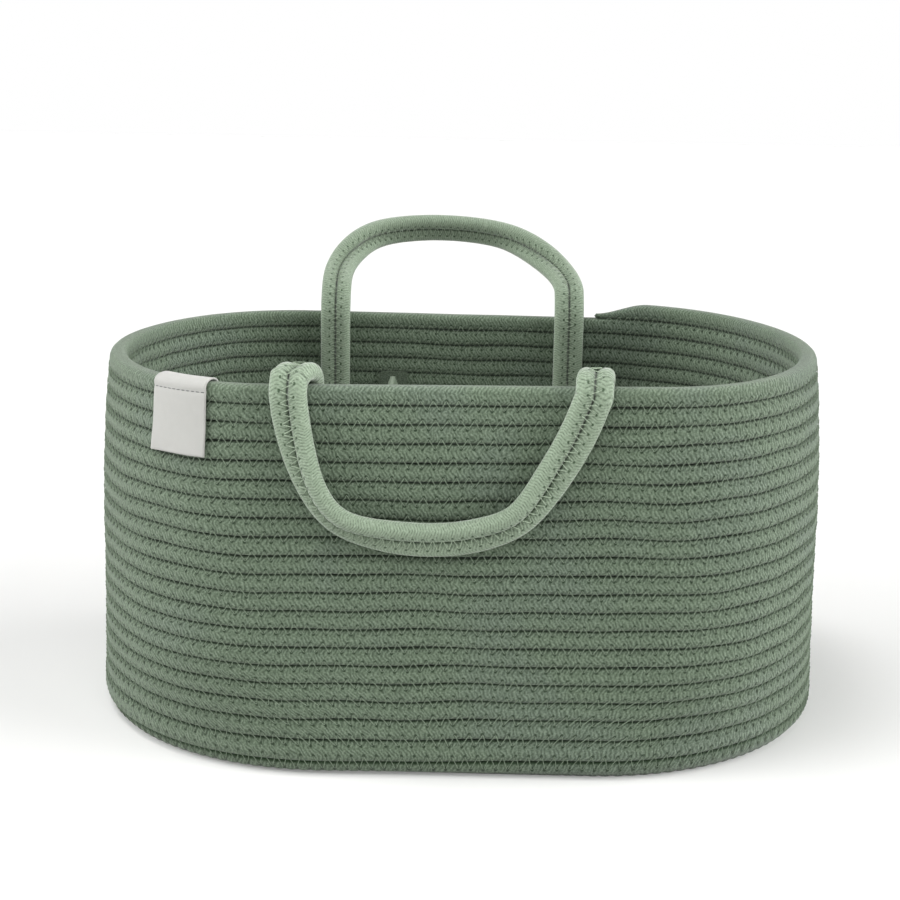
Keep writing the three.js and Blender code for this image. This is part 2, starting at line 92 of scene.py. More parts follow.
# The foot is rounded more tightly than the rows are counted for, and its rows are wider by the rest
FOOT_BEND = FOOT_ROUNDING - HALF_THICKNESS
FOOT_REACH = WALL_REACH - FOOT_BEND
FOOT_BEND_LENGTH = FOOT_BEND * math.pi / 2
FOOT_TOP = SOLE_HEIGHT + FOOT_BEND
FOOT_EXTRA = FOOT_REACH + FOOT_BEND_LENGTH + RIM_ROW - FOOT_TOP - PROFILE_LENGTH
FOOT_RUN = BEND_LENGTH + FOOT_BLEND
END_REACH = BASKET_LENGTH / 2 - HALF_THICKNESS - SIDE_STRAIGHT / 2
END_ARC = math.pi * (END_REACH + WALL_REACH) / 2
HALF_SIDE_SHARE = SIDE_STRAIGHT / 2 / (2 * SIDE_STRAIGHT + 2 * END_ARC)
END_SHARE = 0.5 - 2 * HALF_SIDE_SHARE
SPIRAL_START = 0.5 - HALF_SIDE_SHARE * (CORE_HALF - ROPE_START_SETBACK) / CORE_HALF
ROPE_END = FRONT_TURNS + 0.5 - HALF_SIDE_SHARE * (1 - ROPE_END_RUN / (SIDE_STRAIGHT / 2))

# Look of the rope: its flattened section, the sewn seams and the needle holes
SECTION_POWER = 3.1
SEAM_OVERLAP = 0.04
ROPE_SIDES = 16
ROPE_STEP = 1.35
STITCH_RUN = 5.8
STITCH_REACH = 2.7
STITCH_RISE = 2.1
STITCH_STRAY = 0.35
DIMPLE_DEPTH = 0.45
DIMPLE_RADIUS = 1.25
THREAD_RADIUS = 0.2
THREAD_SIDES = 4
SOLE_EASE = 0.2
WAVE_OUT = 0.35
WAVE_UP = 0.7
WAVE_LENGTH = 46.0
WAVE_UP_LENGTH = 75.0
RIM_CALM = 20.0
HALF_HEIGHT = PITCH / 2 + SEAM_OVERLAP
LOW_HOLE_LEVEL = STITCH_REACH - HALF_HEIGHT
HIGH_HOLE_LEVEL = HALF_HEIGHT - STITCH_RISE
END_TAPER_RUN = 30.0
END_HEIGHT_SHARE = 0.3
END_WIDTH_SHARE = 0.55
TIP_REACH = 1.2
START_DOME_REACH = 8.9
START_DOME_SHARES = (0.995, 0.97, 0.9, 0.8, 0.65, 0.45)
DIMPLED_SHARE = 0.5
SEAM_START_TURNS = 0.2
WALL_PIECES = 4
SEAM_PIECES = 3
# A stitch runs from hole to hole over two shoulders: their place, and what stands up or dips
SHOULDER_SHARE = 0.14
SEAM_DIP = 0.155
SEAM_SHOULDER_LIFT = 0.345
SEAM_MIDDLE_LIFT = 0.08
# Unevenness from a few sines: their number, and how each next one is shorter and weaker
WAVE_COUNT = 5
WAVE_SHORTENING_SHARE = 0.6
WAVE_FADING_SHARE = 0.5
WAVE_SUM = 2.4
STRAY_SEEDS = (3, 8)

# Handles of two strands sewn side by side
STRAND_RADIUS = 4.2
STRAND_OFFSET = 4.35
STRAND_SIDES = 20
STRAND_STEP = 1.1
STRAND_POWER = 2.15
STRAND_TIP_REACH = 1.5
STRAND_DIMPLE_DEPTH = 0.3
STRAND_DIMPLE_RADIUS = 1.1
BAND_STITCH_LIFT = 0.04
BAND_HOLE_DEPTH = 0.7
BAND_SHOULDER_LIFT = 0.108
BAND_MIDDLE_LIFT = 0.072
BAND_THREAD_SIDES = 5
BEND_STEPS = 8
LEAST_STEP = 0.05
ARCH_STEP = 1.2
SPAN_TRIM_SHARE = 1.02
GRIP_BLEND_HEIGHT = 12.0
TOUCH_SWELL = 0.22
HANDLE_STITCH_RUN = 4.6
HANDLE_STITCH_REACH = 3.1
OVERLAP_SINK = 0.03
TWIST_EASING = 120
HANDLE_GIRTH = 2 * math.pi * STRAND_RADIUS
SEAT_GAP = 0.3
WRAP_REACH = HALF_THICKNESS + SEAT_GAP + STRAND_RADIUS
HANGING_BEND = math.radians(60)
LINK_LENGTH = 2 * WRAP_REACH * math.tan(HANGING_BEND / 2)
TANGENT = LINK_LENGTH / 2
PIVOT_RISE = WRAP_REACH * math.tan(HANGING_BEND / 2)
LEG_SPACING = 136.0
HANDLE_DROP = 70.0
BOW_RADIUS = 87.5
TOP_BEND_RADIUS = 36.5
TAIL_LENGTH = 55.0
BOW_TURN, CORNER_TURN, LEG_TURN = (math.radians(a) for a in (24, 48, 80))
# How the bands turn about themselves along the grip: shares of its length, and degrees
FRONT_TWIST = ((0.0, 0), (0.12, 22), (0.24, 56), (0.33, 54), (0.42, 27), (0.5, 22), (0.6, 26), (0.69, 40),
               (0.8, 12), (0.9, 0), (1.0, 0))
REAR_TWIST = ((0.0, 0), (0.12, 10), (0.32, 92), (0.5, 100), (0.66, 96), (0.84, 30), (0.93, 0), (1.0, 0))
# How far the front grip swings aside, along its length, and how the rear one shortens as it turns
FRONT_SWING = ((0.0, 0), (0.14, -0.8), (0.3, -3.2), (0.42, -1.6), (0.52, -0.4), (0.66, -1.8),
               (0.8, -2.9), (0.92, -1.2), (1.0, 0))
REAR_SHORTENING_SHARE = 1.6
HANDLES = {
    "front": {"centre": -10.0, "side": -1, "bend": math.radians(60), "sway": -4.0, "twist": FRONT_TWIST,
              "lean": (6.0, 1.5), "ease_from": TANGENT, "easing": 50, "swing": FRONT_SWING, "ease": 0.0},
    "rear": {"centre": -6.0, "side": 1, "bend": math.radians(23), "sway": -9.0, "twist": REAR_TWIST,
             "lean": (0.0, 0.0), "ease_from": -TANGENT, "easing": 110, "swing": None, "ease": 1.2},
}

# Tag
TAG_STEP = 8
END_STEPS = 9
TAG_BEYOND_SHARE = 0.18
TAG_WIDTH = 29.0
TAG_DROP = 29.5
TAG_TUCK = 24.0
TAG_THICKNESS = 0.9
TAG_EASE = 0.75
TAG_CURL = 0.9
TAG_GROOVE = 0.3
TAG_GROOVE_WIDTH = 0.8
TAG_MIDDLE_CURL_SHARE = 0.3
TAG_RIPPLE = 0.25
TAG_RIPPLE_LENGTH = 4.1
TAG_STITCH_HEIGHT = 0.2
TAG_STITCH_RUN = 2.6
TAG_STITCH_SINK = 0.3
TAG_STITCH_LIFT = 0.42
TAG_STITCH_GAP_SHARE = 0.08
TAG_STITCH_POINTS = 7
TAG_MESH_STEP = 0.8
TAG_FOLD_STEPS = 25

# Dividers: canvas sleeves over boards, the same sizes as the solids
DIVIDER_PLACES = {"divider_left": -40.0, "divider_right": 80.0}
DIVIDER_TOP = 150.0
DIVIDER_THICKNESS = 7.0
COVER_WALL = 1.9
COVER_SEAM = 6.0
DIVIDER_TOP_RADIUS = 14.0
DIVIDER_FOOT_RADIUS = 26.0
FLANGE_WIDTH = 18.0
FLANGE_THICKNESS = 2.4
FLANGE_LOW = 70.0
FLANGE_HIGH = 140.0
FLANGE_RADIUS = 3.0
HOOK_TAPE_THICKNESS = 1.5
LOOP_TAPE_THICKNESS = 1.2
DIVIDER_REACH = WALL_REACH - HALF_THICKNESS - 3 * SEAT_GAP - LOOP_TAPE_THICKNESS - HOOK_TAPE_THICKNESS
DIVIDER_FOOT = SOLE_HEIGHT + HALF_THICKNESS + SEAT_GAP
POCKET_HALF = DIVIDER_THICKNESS / 2 - COVER_WALL
SEAM_HALF_THICKNESS = 1.4
COVER_STITCH_INSET = 5.0
COVER_STITCH_RUN = 3.2
COVER_STITCH_SINK = 0.7
COVER_STITCH_LIFT = 0.6
COVER_STITCH_POINTS = 6
COVER_GROOVE = 0.35
COVER_GROOVE_WIDTH = 0.9
COVER_BUCKLE = 0.22
COVER_BUCKLE_LENGTH = 60.0
COVER_BUCKLE_SHIFT = 40
COVER_BUCKLE_SEED = 11
COVER_ROWS = 90
COVER_COLUMNS = 120
CORNER_STEPS = 13
POCKET_EDGE = 2.0
POCKET_LEAST = 0.02
EVEN_STEP_SHARE = 0.35
FLANGE_ROWS = 40
FLANGE_COLUMNS = 16
FLANGE_EDGE_SHARE = 0.55
FLANGE_EDGE_WIDTH = 1.6
FLANGE_GROOVE = 0.18
FLANGE_GROOVE_INSET = 2.0
FLANGE_GROOVE_WIDTH = 0.5

# The rim's direction, one that no thread runs in, and a guard against dividing by zero
X_AXIS = np.array([1.0, 0.0, 0.0])
THREAD_HELPER = np.array([0.31, 0.17, 0.93])
TINY = 1e-9


def smooth(share):
    held = np.clip(share, 0, 1)
    return held * held * (3 - 2 * held)


def unit(vectors):
    return vectors / (np.linalg.norm(vectors, axis=-1)[..., None] + TINY)


def run_along(line):
    """Length along a line up to each of its points."""
    return np.concatenate([[0], np.cumsum(np.linalg.norm(np.diff(line, axis=0), axis=1))])


def between(at, run, values):
    """Rows of values, given at lengths along a line, read at other lengths."""
    return np.stack([np.interp(at, run, column) for column in values.T], -1)


def resampled(line, step):
    run = run_along(line)
    at = np.linspace(0, run[-1], max(2, int(round(run[-1] / step)) + 1))
    return between(at, run, line), at


# Where the rope lies
def profile_at(run):
    """Reach from the core, height and lean of the wall's surface along its profile."""
    run = np.asarray(run, float)
    run = run + FOOT_EXTRA * smooth((run - BASE_REACH) / FOOT_RUN)
    lean = np.clip((run - FOOT_REACH) / FOOT_BEND, 0, math.pi / 2)
    reach = np.minimum(run, FOOT_REACH) + FOOT_BEND * np.sin(lean)
    height = SOLE_HEIGHT + FOOT_BEND * (1 - np.cos(lean)) + np.maximum(0, run - FOOT_REACH - FOOT_BEND_LENGTH)
    return reach, height, lean


def half_turn(turns):
    """The half of the oval as a sign, the part of it passed, how far its end is turned, and what
    is left of the straight side to its middle, as a share."""
    half = turns % 0.5
    turned = np.clip((half - HALF_SIDE_SHARE) / END_SHARE, 0, 1) * math.pi
    side = np.minimum(np.minimum(half, 0.5 - half), HALF_SIDE_SHARE) / HALF_SIDE_SHARE
    return np.where(turns % 1 < 0.5, -1.0, 1.0), half, turned, side


def oval_at(share, reach, height):
    """A place on the wall's oval and the way out of it; share 0 is the middle of the rear."""
    squared = ((height - MIDDLE_HEIGHT) / MIDDLE_HEIGHT) ** 2
    below = height < MIDDLE_HEIGHT
    belly = np.where(below, FOOT_SPREAD * (squared - 1), -FOOT_SPREAD - RIM_DRAW_IN * squared)
    straight = CORE_HALF + (SIDE_STRAIGHT / 2 - CORE_HALF) * smooth((height - SOLE_HEIGHT) / SQUARE_HEIGHT)
    swell = belly * np.maximum(0, reach - BASE_REACH) / BEND_RADIUS
    depth = CORE_HALF + reach + swell - straight
    sign, _, turn, side = half_turn(share)
    x = sign * (straight * side + depth * np.sin(turn))
    y = -sign * reach * np.cos(turn)
    out = unit(np.stack([sign * np.sin(turn) / depth, -sign * np.cos(turn) / reach], -1))
    return x, y, out[..., 0], out[..., 1]


def climbed_run(turns):
    _, half, turned, _ = half_turn(turns)
    stepped = turns - half + (1 - np.cos(turned)) / 4
    even = np.clip((turns - BASE_TURNS) / EVEN_RISE_TURNS, 0, 1)
    return PITCH * (stepped * (1 - even) + turns * even - SPIRAL_START_SHARE)


def wall_place(share, run):
    """Middle, way out and way along the profile, as arrays of vectors."""
    reach, height, lean = profile_at(run)
    x, y, nx, ny = oval_at(share, reach, height)
    sine, cosine = np.sin(lean), np.cos(lean)
    middle = np.stack([x, y, height], -1)
    out = np.stack([nx * sine, ny * sine, -cosine], -1)
    along = np.stack([nx * cosine, ny * cosine, sine], -1)
    return middle, out, along


def base_place(turns):
    sign, half, turned, side = half_turn(turns)
    radius = PITCH * (turns - half - SPIRAL_START_SHARE) + PITCH / 4
    x = sign * (CORE_HALF * side + radius * np.sin(turned))
    y = sign * (PITCH / 4 - radius * np.cos(turned))
    flat = np.zeros_like(x)
    middle = np.stack([x, y, flat + SOLE_HEIGHT], -1)
    out = np.stack([flat, flat, flat - 1], -1)
    along = np.stack([sign * np.sin(turned), -sign * np.cos(turned), flat], -1)
    return middle, out, along


def rope_place(turns):
    """Where the one rope lies, through the base and up the wall."""
    turns = np.asarray(turns, float)
    in_base = (turns < BASE_TURNS)[..., None]
    base = base_place(turns)
    wall = wall_place(turns % 1, climbed_run(np.maximum(turns, BASE_TURNS)))
    return tuple(np.where(in_base, b, w) for b, w in zip(base, wall))


def in_section(turns, up, depth):
    """Points of the rope's section and the way out there: the section bends with the wall at the foot."""
    in_base = (turns < BASE_TURNS)[..., None]
    middle, out, along = base_place(turns)
    wall_middle, wall_out, _ = wall_place(turns % 1, climbed_run(np.maximum(turns, BASE_TURNS)) + up)
    out = np.where(in_base, out, wall_out)
    return np.where(in_base, middle + along * up[..., None], wall_middle) + out * depth[..., None], out


# Length along the rope by turns, for the step of its rings and for the stitches
TABLE_TURNS = np.linspace(SPIRAL_START, ROPE_END, TABLE_COUNT)
TABLE_RUN = run_along(rope_place(TABLE_TURNS)[0])


def run_at(turns):
    return np.interp(turns, TABLE_TURNS, TABLE_RUN)


def turns_at(run):
    return np.interp(run, TABLE_RUN, TABLE_TURNS)


def waves(points, length, seed):
    """A soft, repeatable unevenness from a few sines, from -1 to 1."""
    draws = np.random.default_rng(seed)
    total = np.zeros(points.shape[:-1])
    for index in range(WAVE_COUNT):
        direction = draws.normal(size=3)
        direction /= np.linalg.norm(direction)
        scale = 2 * math.pi / length * (1 + WAVE_SHORTENING_SHARE * index)
        wave = np.sin(points @ direction * scale + draws.uniform(0, 2 * math.pi))
        total += wave / (1 + WAVE_FADING_SHARE * index)
    return total / WAVE_SUM


def wander(turns):
    """How far the rows stray from their even place, out of the wall and along it."""
    middle, out, along = rope_place(turns)
    height = middle[..., 2]
    free = smooth((RIM_ROW - height) / RIM_CALM) * smooth((height - SOLE_HEIGHT) / BASE_ROUNDING)
    out_seed, up_seed = STRAY_SEEDS
    return (out * (WAVE_OUT * free * waves(middle, WAVE_LENGTH, out_seed))[..., None]
            + along * (WAVE_UP * free * waves(middle, WAVE_UP_LENGTH, up_seed))[..., None])


# Meshes
def new_mesh(name, points, faces, values, made, is_closed=True):
    """A smooth mesh object from points in millimetres, rows of corner numbers and a number per point for
    each name in values. The faces of a closed one are turned outwards if its volume comes out negative."""
    if is_closed:
        centre = points.mean(0)
        a, b, c = (points[faces[:, corner]] - centre for corner in range(3))
        if np.einsum("ij,ij->i", a, np.cross(b, c)).sum() < 0:
            faces = np.roll(faces[:, ::-1], 1, axis=1)
    count, corners = faces.shape
    mesh = bpy.data.meshes.new(name)
    mesh.vertices.add(len(points))
    mesh.vertices.foreach_set("co", (points * mm).astype(np.float32).ravel())
    mesh.loops.add(faces.size)
    mesh.loops.foreach_set("vertex_index", faces.astype(np.int32).ravel())
    mesh.polygons.add(count)
    mesh.polygons.foreach_set("loop_start", np.arange(count, dtype=np.int32) * corners)
    mesh.polygons.foreach_set("loop_total", np.full(count, corners, np.int32))
    mesh.update(calc_edges=True)
    mesh.validate()
    mesh.polygons.foreach_set("use_smooth", [True] * len(mesh.polygons))
    for key, numbers in values.items():
        attribute = mesh.attributes.new(key, "FLOAT", "POINT")
        attribute.data.foreach_set("value", np.asarray(numbers, np.float32).ravel())
    mesh.materials.append(made)
    piece = bpy.data.objects.new(name, mesh)
    bpy.context.scene.collection.objects.link(piece)
    return piece


def tube_faces(rings, sides):
    """Quads round a tube of rings."""
    ring = np.arange(rings - 1)[:, None] * sides
    side = np.arange(sides)[None, :]
    after = (side + 1) % sides
    return np.stack([ring + side, ring + after, ring + after + sides, ring + side + sides], -1).reshape(-1, 4)


def tube_piece(name, points, values, tips, made):
    """A tube through rings of points. Each tip, a ring's number and a point, closes an end."""
    rings, sides = points.shape[:2]
    quads = tube_faces(rings, sides)
    faces = [quads[:, [0, 1, 2]], quads[:, [0, 2, 3]]]
    side = np.arange(sides)
    after = (side + 1) % sides
    for index, (ring, _) in enumerate(tips):
        first, second = (side, after) if ring else (after, side)
        tip = np.full(sides, rings * sides + index)
        faces.append(np.stack([tip, ring * sides + first, ring * sides + second], -1))
    spread = {}
    for key, value in values.items():
        flat = np.broadcast_to(value, (rings, sides)).ravel()
        spread[key] = np.append(flat, [flat[ring * sides] for ring, _ in tips])
    places = np.concatenate([points.reshape(-1, 3), *(tip[None] for _, tip in tips)])
    return new_mesh(name, places, np.concatenate(faces), spread, made)


def thread_tube(name, paths, made, sides=THREAD_SIDES):
    """One mesh of thin tubes along several paths of points."""
    turn = 2 * math.pi * np.arange(sides)[None, :, None] / sides
    points, faces, count = [], [], 0
    for path in paths:
        way = unit(np.gradient(path, axis=0))
        across = unit(np.cross(way, THREAD_HELPER))
        up = np.cross(across, way)
        ring = path[:, None] + THREAD_RADIUS * (np.cos(turn) * across[:, None] + np.sin(turn) * up[:, None])
        points.append(ring.reshape(-1, 3))
        faces.append(tube_faces(len(path), sides) + count)
        count += ring.shape[0] * sides
    return new_mesh(name, np.concatenate(points), np.concatenate(faces), {}, made, is_closed=False)


def zigzag(holes, marks, out, shoulder_lift, middle_lift):
    """Points of a thread that goes from hole to hole, raised over the marks between them."""
    here, there, out = marks[:-1], marks[1:], out[:-1]
    leave = here * (1 - SHOULDER_SHARE) + there * SHOULDER_SHARE + out * shoulder_lift
    arrive = here * SHOULDER_SHARE + there * (1 - SHOULDER_SHARE) + out * shoulder_lift
    centre = (here + there) / 2 + out * middle_lift
    steps = np.stack([holes[:-1], leave, centre, arrive], 1).reshape(-1, 3)
    return np.concatenate([steps, holes[-1:]])


# Section of the rope: points round it as shares of its half thickness and half height,
# counted from the seam above, so that the braid's pattern closes where it is hidden
SECTION_TURN = math.pi / 2 + 2 * math.pi * (np.arange(ROPE_SIDES) + 0.5) / ROPE_SIDES


def section_shares(turn, power):
    cosine, sine = np.cos(turn), np.sin(turn)
    out = np.sign(cosine) * np.abs(cosine) ** (2 / power)
    up = np.sign(sine) * np.abs(sine) ** (2 / power)
    return out, up


def girth_at(out_share, up_share):
    """Length round the section up to each of its points."""
    return run_along(np.stack([HALF_THICKNESS * out_share, HALF_HEIGHT * up_share], -1))


ROPE_GIRTH = girth_at(*section_shares(np.append(SECTION_TURN, SECTION_TURN[0]), SECTION_POWER))[-1]


def tapered(run, up, depth):
    """The section's points where the rope's end thins down onto the row below."""
    left = smooth((TABLE_RUN[-1] - run) / END_TAPER_RUN)
    up = (up + HALF_HEIGHT) * (END_HEIGHT_SHARE + (1 - END_HEIGHT_SHARE) * left) - HALF_HEIGHT
    return up, depth * (END_WIDTH_SHARE + (1 - END_WIDTH_SHARE) * left)


def rope_piece(name, first, last, is_start=False, is_end=False):
    """A length of the basket's rope, with dimples where the needle went through."""
    start_run, end_run = run_at(first), run_at(last)
    rings = int(round((end_run - start_run) / ROPE_STEP)) + 1
    run = np.linspace(start_run, end_run, rings)[:, None]
    turns = turns_at(run)
    upper = run / STITCH_RUN
    lower = run_at(turns - 1) / STITCH_RUN
    out_share, up_share = section_shares(SECTION_TURN, SECTION_POWER)
    level = np.tile(HALF_HEIGHT * up_share, (rings, 1))
    sewn_above, sewn_below = turns < ROPE_END - 1, turns > SPIRAL_START + 1
    dimple = np.zeros(level.shape)
    for coordinate, phase, height, sewn in ((upper, 0.0, HIGH_HOLE_LEVEL, sewn_above),
                                            (lower, 0.5, LOW_HOLE_LEVEL, sewn_below)):
        away = STITCH_RUN / 2 - np.abs((coordinate + phase) % 1 - 0.5) * STITCH_RUN
        dimple += sewn * np.exp(-(np.hypot(away, level - height) / DIMPLE_RADIUS) ** 2)
    dimple *= np.sign(out_share) * (np.abs(out_share) > DIMPLED_SHARE)
    depth = HALF_THICKNESS * out_share - DIMPLE_DEPTH * dimple
    here = climbed_run(turns)
    above = (climbed_run(turns + 1) - here) / PITCH
    below = (here - climbed_run(turns - 1)) / PITCH
    up, depth = tapered(run, level * np.where(level > 0, above, below), depth)
    points = in_section(np.repeat(turns, ROPE_SIDES, 1), up, depth)[0] + wander(turns)
    points[..., 2] = np.maximum(points[..., 2], SOLE_EASE)
    values = {"upper": upper, "lower": lower, "run": run, "level": level,
              "sewn": np.where(level > 0, sewn_above, sewn_below)}
    tips = []
    if is_start:
        centre = points[0].mean(0)
        way = unit(centre - points[1].mean(0))
        ahead = np.array(START_DOME_SHARES)[:, None, None] * START_DOME_REACH
        past = np.maximum(0, ahead - ROPE_START_SETBACK) / (START_DOME_REACH - ROPE_START_SETBACK)
        dome = centre + (points[0] - centre) * np.sqrt(1 - past ** 2) + way * ahead
        points = np.concatenate([dome, points])
        values = {key: np.concatenate([value[:1]] * len(ahead) + [value]) for key, value in values.items()}
        tips.append((0, points[0].mean(0)))
    if is_end:
        centre = points[-1].mean(0)
        tips.append((len(points) - 1, centre + unit(centre - points[-2].mean(0)) * TIP_REACH))
    values["girth"] = girth_at(out_share, up_share)
    return tube_piece(name, points, values, tips, ROPE)


def seam_path(first, last, face):
    """The zigzag that joins each turn to the next, on the outer or inner face."""
    marks = np.arange(math.ceil(run_at(first) / STITCH_RUN * 2), math.floor(run_at(last) / STITCH_RUN * 2))
    on_upper = marks % 2 == 1
    turns = turns_at(marks * STITCH_RUN / 2 + STITCH_STRAY * np.sin(marks * marks)) + on_upper
    level = np.where(on_upper, LOW_HOLE_LEVEL, HIGH_HOLE_LEVEL)
    bulge = HALF_THICKNESS * (1 - np.abs(level / HALF_HEIGHT) ** SECTION_POWER) ** (1 / SECTION_POWER)
    surface, out = in_section(turns, *tapered(run_at(turns), level, face * bulge))
    surface = surface + wander(turns)
    out = out * face
    holes = surface - out * (DIMPLE_DEPTH + THREAD_RADIUS)
    steps = zigzag(holes, surface - out * SEAM_DIP, out, SEAM_SHOULDER_LIFT, SEAM_MIDDLE_LIFT)
    steps[:, 2] = np.maximum(steps[:, 2], THREAD_RADIUS)
    return steps


# Materials
SPECULAR = 0.25
VALLEY_POWER = 4


def material(name, colour, roughness, sheen=0.0, sheen_roughness=0.5):
    made = bpy.data.materials.new(name)
    made.use_nodes = True
    shader = made.node_tree.nodes["Principled BSDF"]
    shader.inputs["Base Color"].default_value = (*colour, 1)
    shader.inputs["Roughness"].default_value = roughness
    shader.inputs["Specular IOR Level"].default_value = SPECULAR
    shader.inputs["Sheen Weight"].default_value = sheen
    shader.inputs["Sheen Roughness"].default_value = sheen_roughness
    return made, shader, Graph(made)


class Graph:
    """Short calls for building a node tree. Lengths are in millimetres."""

    def __init__(self, made):
        self.tree = made.node_tree

    def node(self, kind, **settings):
        node = self.tree.nodes.new(kind)
        for key, value in settings.items():
            setattr(node, key, value)
        return node

    def link(self, a, b):
        self.tree.links.new(a, b)

    def value(self, name):
        return self.node("ShaderNodeAttribute", attribute_name=name).outputs["Fac"]

    def math(self, operation, *inputs):
        node = self.node("ShaderNodeMath", operation=operation)
        for index, item in enumerate(inputs):
            if isinstance(item, (int, float)):
                node.inputs[index].default_value = item
            else:
                self.link(item, node.inputs[index])
        return node.outputs[0]

    def times(self, a, b):
        return self.math("MULTIPLY", a, b)

    def plus(self, a, b):
        return self.math("ADD", a, b)

    def minus(self, a, b):
        return self.math("SUBTRACT", a, b)

    def mix(self, share, a, b):
        node = self.node("ShaderNodeMix", data_type="RGBA")
        for socket, item in ((node.inputs[0], share), (node.inputs[6], a), (node.inputs[7], b)):
            if isinstance(item, tuple):
                socket.default_value = (*item, 1)
            else:
                self.link(item, socket)
        return node.outputs[2]

    def ramp(self, value, low, high, most=1.0):
        """A soft step from 0 to most, between two values."""
        node = self.node("ShaderNodeMapRange", interpolation_type="SMOOTHSTEP")
        self.link(value, node.inputs["Value"])
        for name, limit in (("From Min", low), ("From Max", high), ("To Max", most)):
            node.inputs[name].default_value = limit
        return node.outputs[0]

    def place(self):
        return self.node("ShaderNodeTexCoord").outputs["Object"]

    def scaled_noise(self, scale, detail, place):
        node = self.node("ShaderNodeTexNoise")
        node.inputs["Scale"].default_value = scale
        node.inputs["Detail"].default_value = detail
        self.link(place, node.inputs["Vector"])
        return node.outputs["Fac"]

    def noise(self, size, detail):
        return self.scaled_noise(1 / (size * mm), detail, self.place())

    def fibres(self, run, girth, width, length):
        """Noise drawn out across the rope: strands of the given width and length."""
        spot = self.node("ShaderNodeCombineXYZ")
        self.link(self.math("DIVIDE", run, width), spot.inputs["X"])
        self.link(self.math("DIVIDE", girth, length), spot.inputs["Y"])
        return self.scaled_noise(1, 1, spot.outputs["Vector"])

    def bump(self, height, strength, distance, normal=None):
        node = self.node("ShaderNodeBump")
        node.inputs["Strength"].default_value = strength
        node.inputs["Distance"].default_value = distance * mm
        self.link(height, node.inputs["Height"])
        if normal is not None:
            self.link(normal, node.inputs["Normal"])
        return node.outputs[0]

    def knit(self, run, girth, rib, column, slant, wobble, valley):
        """Height of a knitted cover: short slanted ribs in columns along the rope, from 0 to 1."""
        around = self.math("FRACT", self.math("DIVIDE", girth, column))
        aside = self.times(self.math("ABSOLUTE", self.minus(around, 0.5)), 2)
        shift = self.plus(self.plus(self.math("DIVIDE", run, rib), self.times(aside, slant)), wobble)
        wave = self.math("SINE", self.times(shift, 2 * math.pi))
        rounded = self.plus(self.times(wave, 0.5), 0.5)
        return self.times(rounded, self.minus(1, self.times(self.math("POWER", aside, VALLEY_POWER), valley)))

    def hole(self, stitch, phase, run, beside, ramp):
        """A round mark of painted shade at every stitch's needle hole, from its rim to its middle."""
        part = self.minus(self.math("FRACT", self.plus(stitch, phase)), 0.5)
        along = self.times(part, run)
        squared = self.plus(self.times(along, along), self.times(beside, beside))
        return self.ramp(self.math("SQRT", squared), *ramp)

    def relief(self, shader, height, strength, depth, fine=None, fine_strength=0.0, fine_depth=0.0):
        normal = self.bump(height, strength, depth)
        if fine is not None:
            normal = self.bump(fine, fine_strength, fine_depth, normal)
        self.link(normal, shader.inputs["Normal"])


# Covers of the ropes. Lengths: one rib along the rope, width and length of the fibres, how far apart the
# flecks are, and the relief's depths. The ramps hold where a tone starts, where it is full and how full.
# The dark ramp paints shade into the knit's valleys and the fibres' dips, and the light ramp paints a
# highlight onto its ribs.
ROPE_COVER = {
    "rib": 2.0, "slant": 1.15, "drift": 2.4, "drift_detail": 2, "valley": 0.35, "knit_share": 0.42,
    "fibre": (0.8, 2.4), "fleck": 0.9, "dark": (0.1, 0.5), "light": (0.45, 0.8, 0.5),
    "flecked": (0.52, 0.72, 0.5), "knit_relief": (0.5, 0.6), "fleck_relief": (0.5, 0.6),
}
HANDLE_COVER = {
    "rib": 1.4, "slant": 0.9, "drift": 1.2, "drift_detail": 1, "valley": 0.3, "knit_share": 0.38,
    "fibre": (0.6, 1.6), "fleck": 1.1, "dark": (0.0, 0.55), "light": (0.5, 0.95, 0.6),
    "flecked": (0.5, 0.7, 0.4), "knit_relief": (0.45, 0.6), "fleck_relief": (0.35, 0.5),
}
DRIFT_SIZE = 6.0
PATCH_SIZE = 50.0
# More ramps, of the same kind: cool patches, dark specks, painted shade in the seams and needle holes, grain
PATCH_RAMP = (0.50, 0.66, 0.5)
SPECK_RAMP = (0.58, 0.40, 0.55)
SEAM_SHADE_RAMP = (3.55, 4.2, 0.92)
HOLE_SHADE_RAMP = (1.0, 0.45, 0.85)
HANDLE_SEAM_SHADE_RAMP = (0.8, 0.2, 0.5)
HANDLE_HOLE_SHADE_RAMP = (0.85, 0.4, 0.8)
GRAIN_RAMP = (0.35, 0.65)
YARN_RAMP = (0.0, 0.7)
CELL_RAMP = (0.75, 0.1)
CARDBOARD_FLECK_RAMP = (0.62, 0.72, 0.4)
THREAD_GRAIN = 0.5
THREAD_SHADE_SHARE = 0.65
THREAD_RELIEF = (0.4, 0.2)
TAPE_WEAVE = {"yarn": 0.45, "shade_share": 0.86, "relief": 0.25}
CANVAS_WEAVE = {"yarn": 0.9, "shade_share": 0.55, "relief": 0.6}
YARN_DEPTH_SHARE = 0.4
CLOTH_PATCH = 4.0
CLOTH_PATCH_SHARE = 0.5
CLOTH_LIGHT_SHARE = 1.12
CARDBOARD_FIBRE = 1.2
CARDBOARD_FLECK = 0.5
CARDBOARD_SHADE_SHARE = 0.78
CARDBOARD_RELIEF = (0.25, 0.2)
HOOK_SIZE = 0.9
HOOK_RELIEF = 0.8
LOOP_SIZE = 0.6
LOOP_RELIEF = 0.5
PILE_SHADE_SHARE = 0.45
ROPE_COLOUR = (0.120, 0.163, 0.109)
# Painted shade for the knit's valleys, which also colours dark specks, and painted highlight for its ribs,
# which also colours light flecks
ROPE_SHADE = (0.050, 0.074, 0.045)
ROPE_LIGHT = (0.210, 0.270, 0.194)
ROPE_COOL = (0.120, 0.153, 0.127)
